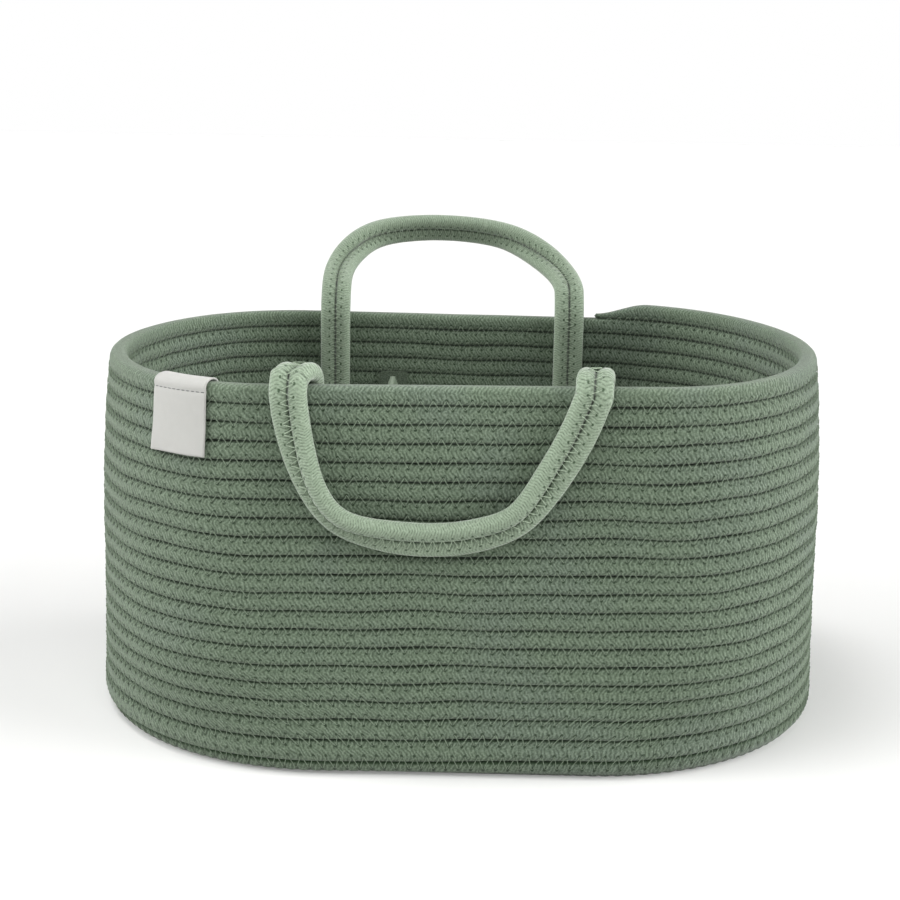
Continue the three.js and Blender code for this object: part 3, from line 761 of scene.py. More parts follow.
# Painted shade in the seams between rows and between a handle's strands
SEAM_SHADE_COLOUR = (0.016, 0.042, 0.013)
# Painted shade in the needle holes
HOLE_SHADE_COLOUR = (0.012, 0.028, 0.010)
THREAD_COLOUR = (0.215, 0.275, 0.197)
HANDLE_COLOUR = (0.205, 0.265, 0.187)
# Painted shade for the handle knit's valleys, and painted highlight for its ribs, which also colours light
# flecks
HANDLE_SHADE = (0.060, 0.084, 0.053)
HANDLE_LIGHT = (0.37, 0.445, 0.345)
HANDLE_THREAD_COLOUR = (0.340, 0.420, 0.310)
TAPE_COLOUR = (0.42, 0.42, 0.40)
STITCH_COLOUR = (0.16, 0.17, 0.17)
CANVAS_COLOUR = (0.136, 0.182, 0.122)
CARDBOARD_COLOUR = (0.42, 0.32, 0.21)
CARDBOARD_SPECK = (0.16, 0.12, 0.08)
TOUCH_TAPE_COLOUR = (0.125, 0.165, 0.115)


def shaded(colour, share):
    return tuple(min(1.0, part * share) for part in colour)


def cover(g, shader, look, column, colours, patched=None):
    """Colour and relief of a rope's knitted cover. Colours are its middle tone, a painted shade for the
    knit's valleys and a painted highlight for its ribs, which also colours light flecks; patched is a middle
    tone that changes from place to place, and then the shade also colours dark specks."""
    middle, shade, light = colours
    run, girth = g.value("run"), g.value("girth")
    drift = g.times(g.noise(DRIFT_SIZE, look["drift_detail"]), look["drift"])
    knit = g.knit(run, girth, look["rib"], column, look["slant"], drift, look["valley"])
    fibres = g.times(g.fibres(run, girth, *look["fibre"]), 1 - look["knit_share"])
    height = g.plus(g.times(knit, look["knit_share"]), fibres)
    mottle = g.noise(look["fleck"], detail=3)
    # Painted shade in the knit's valleys and the fibres' dips
    toned = g.mix(g.ramp(height, *look["dark"]), shade, patched or middle)
    if patched:
        toned = g.mix(g.ramp(mottle, *SPECK_RAMP), toned, shade)
    # Painted highlight on the knit's ribs
    lit = g.mix(g.ramp(height, *look["light"]), toned, light)
    g.relief(shader, height, *look["knit_relief"], mottle, *look["fleck_relief"])
    return g.mix(g.ramp(mottle, *look["flecked"]), lit, light)


def rope_material():
    made, shader, g = material("sewn_rope", ROPE_COLOUR, roughness=0.95, sheen=0.15, sheen_roughness=0.6)
    cool = g.mix(g.ramp(g.noise(PATCH_SIZE, detail=1), *PATCH_RAMP), ROPE_COLOUR, ROPE_COOL)
    covered = cover(g, shader, ROPE_COVER, ROPE_GIRTH / 4, (ROPE_COLOUR, ROPE_SHADE, ROPE_LIGHT), cool)
    level, sewn = g.value("level"), g.value("sewn")
    # Painted shade in the crease where each row meets the next
    seam_shade = g.times(g.ramp(g.math("ABSOLUTE", level), *SEAM_SHADE_RAMP), sewn)
    seam_shaded = g.mix(seam_shade, covered, SEAM_SHADE_COLOUR)
    # Painted shade in the needle holes
    above = g.hole(g.value("upper"), 0.5, STITCH_RUN, g.minus(level, HIGH_HOLE_LEVEL), HOLE_SHADE_RAMP)
    below = g.hole(g.value("lower"), 0.0, STITCH_RUN, g.minus(level, LOW_HOLE_LEVEL), HOLE_SHADE_RAMP)
    holes = g.times(g.math("MAXIMUM", above, below), sewn)
    g.link(g.mix(holes, seam_shaded, HOLE_SHADE_COLOUR), shader.inputs["Base Color"])
    return made


def handle_material():
    made, shader, g = material("handle_rope", HANDLE_COLOUR, roughness=0.9, sheen=0.4, sheen_roughness=0.45)
    covered = cover(g, shader, HANDLE_COVER, HANDLE_GIRTH / 4, (HANDLE_COLOUR, HANDLE_SHADE, HANDLE_LIGHT))
    away = g.value("away")
    # Painted shade in the crease between the two strands
    seam_shade = g.ramp(away, *HANDLE_SEAM_SHADE_RAMP)
    # Painted shade in the needle holes
    beside = g.minus(away, HANDLE_STITCH_REACH)
    hole = g.hole(g.value("stitch"), 0.5, HANDLE_STITCH_RUN, beside, HANDLE_HOLE_SHADE_RAMP)
    g.link(g.mix(g.math("MAXIMUM", seam_shade, hole), covered, SEAM_SHADE_COLOUR), shader.inputs["Base Color"])
    return made


def grained(name, colour, roughness, size, detail, share, relief):
    """A material with a fine grain: its shader, its graph and its colour so far."""
    made, shader, g = material(name, colour, roughness)
    grain = g.noise(size, detail)
    g.relief(shader, grain, *relief)
    return made, shader, g, g.mix(g.ramp(grain, *GRAIN_RAMP), shaded(colour, share), colour)


def thread_material(name, colour):
    made, shader, g, toned = grained(name, colour, roughness=0.75, size=THREAD_GRAIN, detail=2,
                                     share=THREAD_SHADE_SHARE, relief=THREAD_RELIEF)
    g.link(toned, shader.inputs["Base Color"])
    return made


def woven_material(name, colour, weave):
    """Plain weave in the piece's own two coordinates, in millimetres."""
    made, shader, g = material(name, colour, roughness=0.92, sheen=0.15)
    p, q = (g.math("DIVIDE", g.value(key), weave["yarn"]) for key in ("run", "girth"))
    parity = g.math("ABSOLUTE", g.math("MODULO", g.plus(g.math("FLOOR", p), g.math("FLOOR", q)), 2))
    wave_p, wave_q = (g.math("ABSOLUTE", g.math("SINE", g.times(part, math.pi))) for part in (p, q))
    height = g.plus(g.times(wave_p, parity), g.times(wave_q, g.minus(1, parity)))
    # Painted shade where the yarns dip under each other
    toned = g.mix(g.ramp(height, *YARN_RAMP), shaded(colour, weave["shade_share"]), colour)
    patch = g.times(g.noise(CLOTH_PATCH, detail=3), CLOTH_PATCH_SHARE)
    g.link(g.mix(patch, toned, shaded(colour, CLOTH_LIGHT_SHARE)), shader.inputs["Base Color"])
    g.relief(shader, height, weave["relief"], weave["yarn"] * YARN_DEPTH_SHARE)
    return made


def cardboard_material():
    made, shader, g, toned = grained("cardboard", CARDBOARD_COLOUR, roughness=0.85, size=CARDBOARD_FIBRE,
                                     detail=4, share=CARDBOARD_SHADE_SHARE, relief=CARDBOARD_RELIEF)
    flecks = g.ramp(g.noise(CARDBOARD_FLECK, detail=2), *CARDBOARD_FLECK_RAMP)
    g.link(g.mix(flecks, toned, CARDBOARD_SPECK), shader.inputs["Base Color"])
    return made


def touch_tape_material(name, size, strength):
    """Rows of small hooks or a nap of loops, as round cells on the tape, with painted shade between them."""
    made, shader, g = material(name, TOUCH_TAPE_COLOUR, roughness=0.8)
    cells = g.node("ShaderNodeTexVoronoi")
    cells.inputs["Scale"].default_value = 1 / (size * mm)
    g.link(g.place(), cells.inputs["Vector"])
    # Painted shade between the hooks or loops
    height = g.ramp(cells.outputs["Distance"], *CELL_RAMP)
    shade = shaded(TOUCH_TAPE_COLOUR, PILE_SHADE_SHARE)
    g.link(g.mix(height, shade, TOUCH_TAPE_COLOUR), shader.inputs["Base Color"])
    g.relief(shader, height, strength, size / 2)
    return made


ROPE = rope_material()
HANDLE = handle_material()
THREAD = thread_material("sewing_thread", THREAD_COLOUR)
HANDLE_THREAD = thread_material("handle_thread", HANDLE_THREAD_COLOUR)
DARK_THREAD = thread_material("tag_thread", STITCH_COLOUR)
TAPE = woven_material("white_tape", TAPE_COLOUR, TAPE_WEAVE)
CANVAS = woven_material("canvas", CANVAS_COLOUR, CANVAS_WEAVE)
CARDBOARD = cardboard_material()
HOOKS = touch_tape_material("hook_tape_pile", HOOK_SIZE, HOOK_RELIEF)
LOOPS = touch_tape_material("loop_tape_pile", LOOP_SIZE, LOOP_RELIEF)


def finish_piece(piece, body, replaced=()):
    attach(piece, body)
    if replaced:
        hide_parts(*replaced)


# Basket
def build_basket():
    base = rope_piece("base_rope", SPIRAL_START, BASE_TURNS, is_start=True)
    finish_piece(base, "basket", ["base_coil"])
    cuts = np.linspace(BASE_TURNS, ROPE_END, WALL_PIECES + 1)
    for index, (first, last) in enumerate(zip(cuts, cuts[1:])):
        wall = rope_piece(f"wall_rope_{index + 1}", first, last, is_end=index == WALL_PIECES - 1)
        finish_piece(wall, "basket", ["wall_coil"] if index == 0 else [])
    spans = np.linspace(SPIRAL_START + SEAM_START_TURNS, ROPE_END - 1, SEAM_PIECES + 1)
    for face, label in ((1, "outer"), (-1, "inner")):
        for index in range(SEAM_PIECES):
            path = seam_path(spans[index], spans[index + 1], face)
            finish_piece(thread_tube(f"{label}_zigzag_{index + 1}", [path], THREAD), "basket")


# Handles
def arch_radii():
    s1, s2, s3 = (math.sin(a) for a in (BOW_TURN, CORNER_TURN, LEG_TURN))
    c1, c2, c3 = (math.cos(a) for a in (BOW_TURN, CORNER_TURN, LEG_TURN))
    across = LEG_SPACING / 2 - BOW_RADIUS * s1 - TOP_BEND_RADIUS * (1 - s3)
    down = HANDLE_DROP - BOW_RADIUS * (1 - c1) - TOP_BEND_RADIUS * c3
    spread = (s2 - s1) * (c2 - c3) - (s3 - s2) * (c1 - c2)
    corner = (across * (c2 - c3) - down * (s3 - s2)) / spread
    leg = (down * (s2 - s1) - across * (c1 - c2)) / spread
    return [BOW_RADIUS, corner, leg, TOP_BEND_RADIUS]


def arch_points(sway):
    """The band's middle line over the arch, from the left pivot to the right one, as x and height."""
    turns = [0, BOW_TURN, CORNER_TURN, LEG_TURN, math.pi / 2]
    half = [(0.0, 0.0)]
    for arc, radius in enumerate(arch_radii()):
        x, z = half[-1]
        steps = max(2, int((turns[arc + 1] - turns[arc]) * radius / ARCH_STEP))
        for step in range(1, steps + 1):
            turn = turns[arc] + (turns[arc + 1] - turns[arc]) * step / steps
            half.append((x + radius * (math.sin(turn) - math.sin(turns[arc])),
                         z + radius * (math.cos(turns[arc]) - math.cos(turn))))
    half = np.array(half)
    right = np.stack([half[:, 0], HANDLE_DROP - half[:, 1]], -1)
    left = right[1:][::-1] * [-1, 1]
    points = np.concatenate([left, right])
    points[:, 0] += sway * points[:, 1] / HANDLE_DROP
    return points


def row_under(centre, side):
    """Height of the rim's row under a handle's higher leg."""
    heights = []
    for leg in (-1, 1):
        along = (centre + leg * LEG_SPACING / 2) / (SIDE_STRAIGHT / 2) * HALF_SIDE_SHARE
        turns = FRONT_TURNS + along if side < 0 else FRONT_TURNS - 0.5 - along
        heights.append(float(rope_place(np.array([turns]))[0][0, 2]))
    return max(heights)


def handle_pivots(spec):
    """The three pivots in the plane across the rim, as y and z, and the directions between them."""
    side, bend = spec["side"], spec["bend"]
    height = row_under(spec["centre"], side) + PIVOT_RISE
    points = [np.array([side * (WALL_REACH - WRAP_REACH), height])]
    ways = [np.array([0.0, 1.0])]
    for index in range(3):
        angle = bend * (index + 1)
        ways.append(np.array([side * math.sin(angle), math.cos(angle)]))
        if index < 2:
            points.append(points[-1] + ways[-1] * LINK_LENGTH)
    return points, ways


def filleted(points, ways, bend, index, back):
    """Points of the middle line over one pivot, from a length before it, with the bend as an arc."""
    before, after, corner = ways[index], ways[index + 1], points[index]
    radius = TANGENT / math.tan(bend / 2)
    normal = np.array([before[1], -before[0]])
    normal *= 1 if normal @ after > 0 else -1
    turn = np.linspace(0, bend, BEND_STEPS + 1)[:, None]
    centre = corner - before * TANGENT + normal * radius
    arc = centre - normal * radius * np.cos(turn) + before * radius * np.sin(turn)
    line = np.concatenate([[corner - before * back], arc, [corner + after * TANGENT]])
    return line[np.append(True, np.diff(run_along(line)) > LEAST_STEP)]


def band_frame(line, across):
    """Directions at each point of a band's middle line: across to the next strand, and off its face."""
    way = unit(np.gradient(line, axis=0))
    across = unit(across - (across * way).sum(1)[:, None] * way)
    return across, np.cross(way, across)


def strand_piece(name, line, across, offset, start_run, is_closed):
    """One strand of a handle's band: line is the band's middle, across points to the next strand.
    An open end reaches one ring into the strand that it meets, so that the shading runs on."""
    before = 0 if is_closed else 1
    step = line[1] - line[0]
    line = np.array([*[line[0] - step] * before, *line, 2 * line[-1] - line[-2]])
    across = np.array([*across[:before], *across, across[-1]])
    across, face = band_frame(line, across)
    middle = line + across * offset
    turn = 2 * math.pi * (np.arange(STRAND_SIDES) + 0.5) / STRAND_SIDES
    out_share, up_share = section_shares(turn + (math.pi if offset > 0 else 0.0), STRAND_POWER)
    inward = -np.sign(offset) * out_share
    away = STRAND_RADIUS * (1 - inward)
    run = start_run - before * np.linalg.norm(step) + run_along(line)[:, None]
    marks = run / HANDLE_STITCH_RUN + (0.5 if offset < 0 else 0.0)
    along_gap = (0.5 - np.abs(marks % 1 - 0.5)) * HANDLE_STITCH_RUN
    distance = np.hypot(along_gap, away - HANDLE_STITCH_REACH)
    size = STRAND_RADIUS + TOUCH_SWELL * np.maximum(0, inward) ** 2
    size = size - STRAND_DIMPLE_DEPTH * np.exp(-(distance / STRAND_DIMPLE_RADIUS) ** 2)
    size[-1] -= OVERLAP_SINK
    size[:before] -= OVERLAP_SINK
    points = (middle[:, None] + across[:, None] * (size * out_share)[..., None]
              + face[:, None] * (size * up_share)[..., None])
    values = {"run": run, "girth": STRAND_RADIUS * turn, "stitch": marks, "away": away}
    tips = [(0, middle[0] - unit(step) * STRAND_TIP_REACH)] if is_closed else []
    return tube_piece(name, points, values, tips, HANDLE)


def band_thread(name, line, across, start_run):
    """Zigzag stitches over the seam between the two strands, on both faces of the band."""
    run = start_run + run_along(line)
    first, last = (run[end] / HANDLE_STITCH_RUN * 2 for end in (0, -1))
    marks = np.arange(math.ceil(first), math.floor(last) + 1)
    at = marks * HANDLE_STITCH_RUN / 2
    middle, side, out = (between(at, run, values) for values in (line, *band_frame(line, across)))
    reach = STRAND_OFFSET - STRAND_RADIUS + HANDLE_STITCH_REACH
    rise = math.sqrt(STRAND_RADIUS ** 2 - (STRAND_RADIUS - HANDLE_STITCH_REACH) ** 2) + BAND_STITCH_LIFT
    middle += side * np.where(marks % 2 == 0, reach, -reach)[:, None]
    paths = []
    for away in (out, -out):
        top = middle + away * rise
        paths.append(zigzag(top - away * BAND_HOLE_DEPTH, top, away, BAND_SHOULDER_LIFT, BAND_MIDDLE_LIFT))
    return thread_tube(name, paths, HANDLE_THREAD, BAND_THREAD_SIDES)


def height_over(line, origin, way):
    return (line[:, 1] - origin[0]) * way[0] + (line[:, 2] - origin[1]) * way[1]


def eased_line(line, height, start, rounds):
    """The same line with its kinks smoothed from a height over the last pivot on."""
    eased = line.copy()
    share = smooth((height - start) / LINK_LENGTH)[:, None]
    for _ in range(rounds):
        middle = (eased[:-2] + 2 * eased[1:-1] + eased[2:]) / 4
        eased[1:-1] += (middle - eased[1:-1]) * share[1:-1]
    return eased


def along_grip(marks, count):
    """Values given at shares of the grip's length, eased into each other."""
    shares, values = zip(*marks)
    found = np.interp(np.linspace(0, 1, count), shares, values)
    for _ in range(TWIST_EASING):
        found[1:-1] = (found[:-2] + 2 * found[1:-1] + found[2:]) / 4
    return found


def at_x(line, x):
    """Points of a line across the rim, at one place along it."""
    return np.stack([np.full(len(line), x), line[:, 0], line[:, 1]], -1)


def build_band(name, place, nodes, line, across, start_run, joint):
    """Both strands of a length of a handle's band and their thread, which bend over one joint."""
    body, next_body, a, b = joint
    pieces = []
    for strand, offset in (("outer", STRAND_OFFSET), ("inner", -STRAND_OFFSET)):
        label = f"{name}_handle_{strand}_{place}_rope"
        piece = strand_piece(label, line, across, offset, start_run, body == "basket")
        pieces.append((piece, [f"{name}_handle_{strand}_{node}" for node in nodes]))
    pieces.append((band_thread(f"{name}_handle_{place}_thread", line, across, start_run), []))
    for piece, replaced in pieces:
        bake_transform(piece)
        if replaced:
            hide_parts(*replaced)


def build_legs(name, spec, points, ways, joints):
    """The sewn tail of each leg, and its bend over the rim."""
    for leg, leg_sign, lean in (("left", -1, spec["lean"][0]), ("right", 1, spec["lean"][1])):
        for index, part, back, nodes in ((0, "tail", TAIL_LENGTH, (f"{leg}_tail", f"{leg}_link_1")),
                                         (1, "bend", TANGENT, (f"{leg}_link_2",))):
            flat_line = filleted(points, ways, spec["bend"], index, back)
            line, _ = resampled(at_x(flat_line, spec["centre"] + leg_sign * LEG_SPACING / 2), STRAND_STEP)
            inside = smooth((line[:, 1] - points[2][0]) / (points[0][0] - points[2][0]))
            down = smooth((points[0][1] - line[:, 2]) / TAIL_LENGTH)
            line[:, 0] += lean * inside * (1 - down)
            across = np.broadcast_to(X_AXIS * leg_sign, line.shape)
            start_run = index * (TAIL_LENGTH + TANGENT)
            build_band(name, f"{leg}_{part}", nodes, line, across, start_run, joints[index])


def build_grip(name, spec, points, ways, joint):
    """The arch that is held. It turns about itself and swings aside as in the photo."""
    centre, origin, way = spec["centre"], points[2], ways[3]
    up = np.array([0.0, *way])
    arch = arch_points(spec["sway"])
    lead = filleted(points, ways, spec["bend"], 2, TANGENT)[:-1]
    left, right = (at_x(lead, centre + leg_sign * LEG_SPACING / 2) for leg_sign in (-1, 1))
    over = at_x(origin + way * arch[:, 1:], centre)
    over[:, 0] += arch[:, 0]
    line, _ = resampled(np.concatenate([left, over[arch[:, 1] > TANGENT], right[::-1]]), STRAND_STEP)
    line = eased_line(line, height_over(line, origin, way), spec["ease_from"], spec["easing"])
    direction = unit(np.gradient(line, axis=0))
    outward = np.where(line[:, :1] < centre, -X_AXIS, X_AXIS)
    normal = np.cross(X_AXIS, up)
    inplane = np.cross(direction, normal)
    inplane *= np.sign((inplane * (line - np.array([centre, *origin]))).sum(1))[:, None]
    share = smooth((height_over(line, origin, way) - TANGENT) / GRIP_BLEND_HEIGHT)[:, None]
    across = unit(outward * (1 - share) + inplane * share)
    face = np.cross(direction, across)
    face *= np.sign((face * normal).sum(1))[:, None]
    twist = np.radians(along_grip(spec["twist"], len(line)))[:, None]
    clear = (STRAND_OFFSET + spec["ease"]) * np.abs(np.sin(twist))
    if spec["side"] < 0:
        line = line + across * STRAND_OFFSET * (1 - np.cos(twist)) - face * clear
    else:
        line = line + face * clear - up * clear * REAR_SHORTENING_SHARE
    if spec["swing"]:
        line[:, 0] += along_grip(spec["swing"], len(line))
    turned = across * np.cos(twist) + face * np.sin(twist)
    build_band(name, "grip", ["grip"], line, turned, TAIL_LENGTH + TANGENT + LINK_LENGTH, joint)


def build_handle(name, spec):
    points, ways = handle_pivots(spec)
    bodies = ["basket", f"{name}_handle_bend_1", f"{name}_handle_bend_2", f"{name}_handle"]
    trim = STRAND_RADIUS * math.sin(spec["bend"] / 2) * SPAN_TRIM_SHARE
    joints = []
    for index, point in enumerate(points):
        a, b = point - ways[index] * TANGENT, point + ways[index + 1] * TANGENT
        trimmed = unit(b - a) * trim
        joints.append((bodies[index], bodies[index + 1], a + trimmed, b - trimmed))
    build_legs(name, spec, points, ways, joints)
    build_grip(name, spec, points, ways, joints[2])


# Sheets
def grid_faces(rows, columns):
    """Quads between the points of a grid, counted row by row."""
    row = np.arange(rows - 1)[:, None] * columns
    column = np.arange(columns - 1)[None, :]
    at = row + column
    return np.stack([at, at + 1, at + columns + 1, at + columns], -1).reshape(-1, 4)


def strip_faces(first, second):
    """Quads between two rows of point numbers."""
    return np.stack([first[:-1], first[1:], second[1:], second[:-1]], -1)


def sheet_piece(name, middle, normal, thickness, run, girth, made):
    """A closed sheet on a grid of points, thickened to both sides."""
    rows, columns = middle.shape[:2]
    skins = [(middle + normal * side * thickness / 2).reshape(-1, 3) for side in (1, -1)]
    count = rows * columns
    numbers = np.arange(count).reshape(rows, columns)
    border = np.concatenate([numbers[0], numbers[1:, -1], numbers[-1, -2::-1], numbers[-2::-1, 0]])
    quads = grid_faces(rows, columns)
    faces = np.concatenate([quads, quads[:, ::-1] + count, strip_faces(border + count, border)])
    values = {key: np.tile(np.broadcast_to(value, (rows, columns)).ravel(), 2)
              for key, value in (("run", run), ("girth", girth))}
    return new_mesh(name, np.concatenate(skins), faces, values, made)


def turned_normals(grid):
    """The way out of a grid of points, from its two directions."""
    return unit(np.cross(np.gradient(grid, axis=0), np.gradient(grid, axis=1)))


# Tag: one strip of tape folded over the rim and sewn through it
def tag_strip():
    """Reach out of the wall's middle and height over the rim's row, down the outside and the inside."""
    reach = HALF_THICKNESS + TAG_EASE + TAG_THICKNESS / 2
    shoulder = HALF_HEIGHT / 2
    crown = HALF_HEIGHT - shoulder + TAG_EASE + TAG_THICKNESS / 2
    turn = np.linspace(0, math.pi, TAG_FOLD_STEPS)
    arc = np.stack([reach * np.cos(turn), shoulder + crown * np.sin(turn)], -1)
    line = np.concatenate([[[reach, -TAG_DROP]], arc, [[-reach, -TAG_TUCK]]])
    return resampled(line, TAG_MESH_STEP)


def stitch_lift(count):
    """How far the points of one stitch stand up, as shares."""
    return np.sin(np.linspace(0, math.pi, count)) ** 0.5


def build_tag():
    corner = FRONT_TURNS - 0.5 + HALF_SIDE_SHARE + END_SHARE * TAG_STEP / END_STEPS
    centre_run = run_at(corner) - (0.5 - TAG_BEYOND_SHARE) * TAG_WIDTH
    centre = turns_at(centre_run)
    turns_per_mm = (turns_at(centre_run + TAG_WIDTH / 2) - turns_at(centre_run - TAG_WIDTH / 2)) / TAG_WIDTH
    line, length = tag_strip()
    width = np.linspace(-TAG_WIDTH / 2, TAG_WIDTH / 2, int(TAG_WIDTH / TAG_MESH_STEP) + 1)
    turns = np.broadcast_to(centre + width * turns_per_mm, (len(line), len(width)))
    height = np.broadcast_to(line[:, 1:], turns.shape)
    reach = np.broadcast_to(line[:, :1], turns.shape)
    loose = smooth((-height - TAG_DROP / 2) / (TAG_DROP / 2)) * (reach > 0)
    edge = (width / (TAG_WIDTH / 2)) ** 2
    curl = TAG_CURL * (TAG_MIDDLE_CURL_SHARE + (1 - TAG_MIDDLE_CURL_SHARE) * edge)
    groove = TAG_GROOVE * np.exp(-((height - TAG_STITCH_HEIGHT) / TAG_GROOVE_WIDTH) ** 2)
    reach = reach + loose * (curl + TAG_RIPPLE * np.sin(width / TAG_RIPPLE_LENGTH)) - np.sign(reach) * groove
    middle, out, _ = wall_place(turns % 1, climbed_run(turns) + np.minimum(0, height))
    middle = middle + out * reach[..., None]
    middle[..., 2] += np.maximum(0, height)
    tape = sheet_piece("tag_folded_tape", middle, turned_normals(middle), TAG_THICKNESS,
                       length[:, None], width[None], TAPE)
    paths = []
    surface = HALF_THICKNESS + TAG_EASE + TAG_THICKNESS - TAG_GROOVE - TAG_STITCH_SINK
    count = int(TAG_WIDTH / TAG_STITCH_RUN)
    part = np.linspace(TAG_STITCH_GAP_SHARE, 1 - TAG_STITCH_GAP_SHARE, TAG_STITCH_POINTS)
    raised = (surface + TAG_STITCH_LIFT * stitch_lift(TAG_STITCH_POINTS))[:, None]
    for face in (1, -1):
        for stitch in range(count):
            turns = centre + (part + stitch - count / 2) * TAG_STITCH_RUN * turns_per_mm
            spot, out, _ = wall_place(turns % 1, climbed_run(turns) + TAG_STITCH_HEIGHT)
            paths.append(spot + out * face * raised)
    stitches = thread_tube("tag_stitches", paths, DARK_THREAD)
    finish_piece(stitches, "basket")
    finish_piece(tape, "basket", ["tag_tape"])


# Dividers
def inset(y, z, reach, foot, top, foot_radius, top_radius):
    """How far a point lies inside the divider's sewn edge, which runs up both sides and along the top."""
    side = reach - np.abs(y)
    edge = np.minimum(side, top - z)
    at_top = (side < top_radius) & (z > top - top_radius)
    at_foot = (side < foot_radius) & (z < foot + foot_radius)
    top_corner = top_radius - np.hypot(top_radius - side, z - (top - top_radius))
    foot_corner = foot_radius - np.hypot(foot_radius - side, foot + foot_radius - z)
    return np.where(at_top, top_corner, np.where(at_foot, foot_corner, edge))


def half_width(z, reach, foot, top, foot_radius, top_radius):
    over = np.maximum(0, z - (top - top_radius))
    under = np.maximum(0, foot + foot_radius - z)
    return (reach - top_radius + np.sqrt(np.maximum(0, top_radius ** 2 - over ** 2))
            - foot_radius + np.sqrt(np.maximum(0, foot_radius ** 2 - under ** 2)))


def eased(count):
    """Shares from 0 to 1 that lie closer together towards both ends."""
    share = np.linspace(0, 1, count)
    return EVEN_STEP_SHARE * share + (1 - EVEN_STEP_SHARE) * (1 - np.cos(math.pi * share)) / 2


def panel_grid(sizes, rows, columns):
    _, foot, top, _, _ = sizes
    z = foot + (top - foot) * eased(rows)
    y = half_width(z, *sizes)[:, None] * (2 * eased(columns) - 1)
    z = np.broadcast_to(z[:, None], y.shape)
    return y, z, np.maximum(0, inset(y, z, *sizes))


def groove_at(depth, inset, width):
    return np.exp(-((depth - inset) / width) ** 2)


def cover_skins(place):
    """Grids of points: both outer faces of the sleeve, then both faces of its pocket."""
    outer = (DIVIDER_REACH, DIVIDER_FOOT, DIVIDER_TOP, DIVIDER_FOOT_RADIUS, DIVIDER_TOP_RADIUS)
    inner = (DIVIDER_REACH - COVER_SEAM, DIVIDER_FOOT, DIVIDER_TOP - COVER_SEAM,
             DIVIDER_FOOT_RADIUS, DIVIDER_TOP_RADIUS - COVER_SEAM)
    y, z, depth = panel_grid(outer, COVER_ROWS, COVER_COLUMNS)
    swell = smooth(depth / COVER_SEAM)
    full = SEAM_HALF_THICKNESS + (DIVIDER_THICKNESS / 2 - SEAM_HALF_THICKNESS) * swell
    full -= COVER_GROOVE * groove_at(depth, COVER_STITCH_INSET, COVER_GROOVE_WIDTH)
    points = np.stack([np.full(y.shape, place), y, z], -1)
    skins = []
    for facing in (1, -1):
        buckle = waves(points + facing * COVER_BUCKLE_SHIFT, COVER_BUCKLE_LENGTH, COVER_BUCKLE_SEED)
        skins.append(np.stack([place + facing * (full + COVER_BUCKLE * swell * buckle), y, z], -1))
    y, z, depth = panel_grid(inner, COVER_ROWS, COVER_COLUMNS)
    half = POCKET_HALF * smooth(depth / POCKET_EDGE) + POCKET_LEAST
    return skins + [np.stack([place + facing * half, y, z], -1) for facing in (1, -1)]


def build_cover(name, body, place):
    """The canvas sleeve: both outer faces, its pocket open at the foot, and a seam round three sides."""
    skins = cover_skins(place)
    count = COVER_ROWS * COVER_COLUMNS
    numbers = np.arange(count).reshape(COVER_ROWS, COVER_COLUMNS)
    quads = grid_faces(COVER_ROWS, COVER_COLUMNS)
    edge = np.concatenate([numbers[:, -1], numbers[-1, -2::-1], numbers[-2::-1, 0]])
    foot = numbers[0]
    ends = [[start, start + 2 * count, start + 3 * count, start + count] for start in (foot[0], foot[-1])]
    faces = np.concatenate([
        quads, quads[:, ::-1] + count, quads[:, ::-1] + 2 * count, quads + 3 * count,
        strip_faces(edge + count, edge), strip_faces(edge + 2 * count, edge + 3 * count),
        strip_faces(foot + 2 * count, foot), strip_faces(foot + count, foot + 3 * count),
        [ends[0], ends[1][::-1]]])
    points = np.concatenate([skin.reshape(-1, 3) for skin in skins])
    values = {"run": points[:, 1], "girth": points[:, 2]}
    piece = new_mesh(f"{name}_canvas_cover", points, faces, values, CANVAS)
    finish_piece(piece, body, [f"{name}_cover"])
    return piece


def cover_stitches(name, body, place):
    """A running topstitch round the sleeve, a seam's width inside its edge, on both faces."""
    turn = np.linspace(0, math.pi / 2, CORNER_STEPS)
    low, high = (radius - COVER_STITCH_INSET for radius in (DIVIDER_FOOT_RADIUS, DIVIDER_TOP_RADIUS))
    foot = np.stack([low * np.sin(turn) - low, low - low * np.cos(turn)], -1)
    top = np.stack([high * np.cos(turn) - high, high * np.sin(turn) - high], -1)
    reach = DIVIDER_REACH - COVER_STITCH_INSET
    right = np.concatenate([foot + [reach, DIVIDER_FOOT + COVER_STITCH_INSET],
                            top + [reach, DIVIDER_TOP - COVER_STITCH_INSET]])
    count = COVER_STITCH_POINTS
    line, _ = resampled(np.concatenate([right, right[::-1] * [-1, 1]]), COVER_STITCH_RUN / count)
    raised = DIVIDER_THICKNESS / 2 - COVER_STITCH_SINK + COVER_STITCH_LIFT * stitch_lift(count)
    paths = []
    for facing in (1, -1):
        for start in range(0, len(line) - count, count):
            y, z = line[start:start + count].T
            paths.append(np.stack([place + facing * raised, y, z], -1))
    piece = thread_tube(f"{name}_topstitch", paths, THREAD)
    finish_piece(piece, body)
    return piece


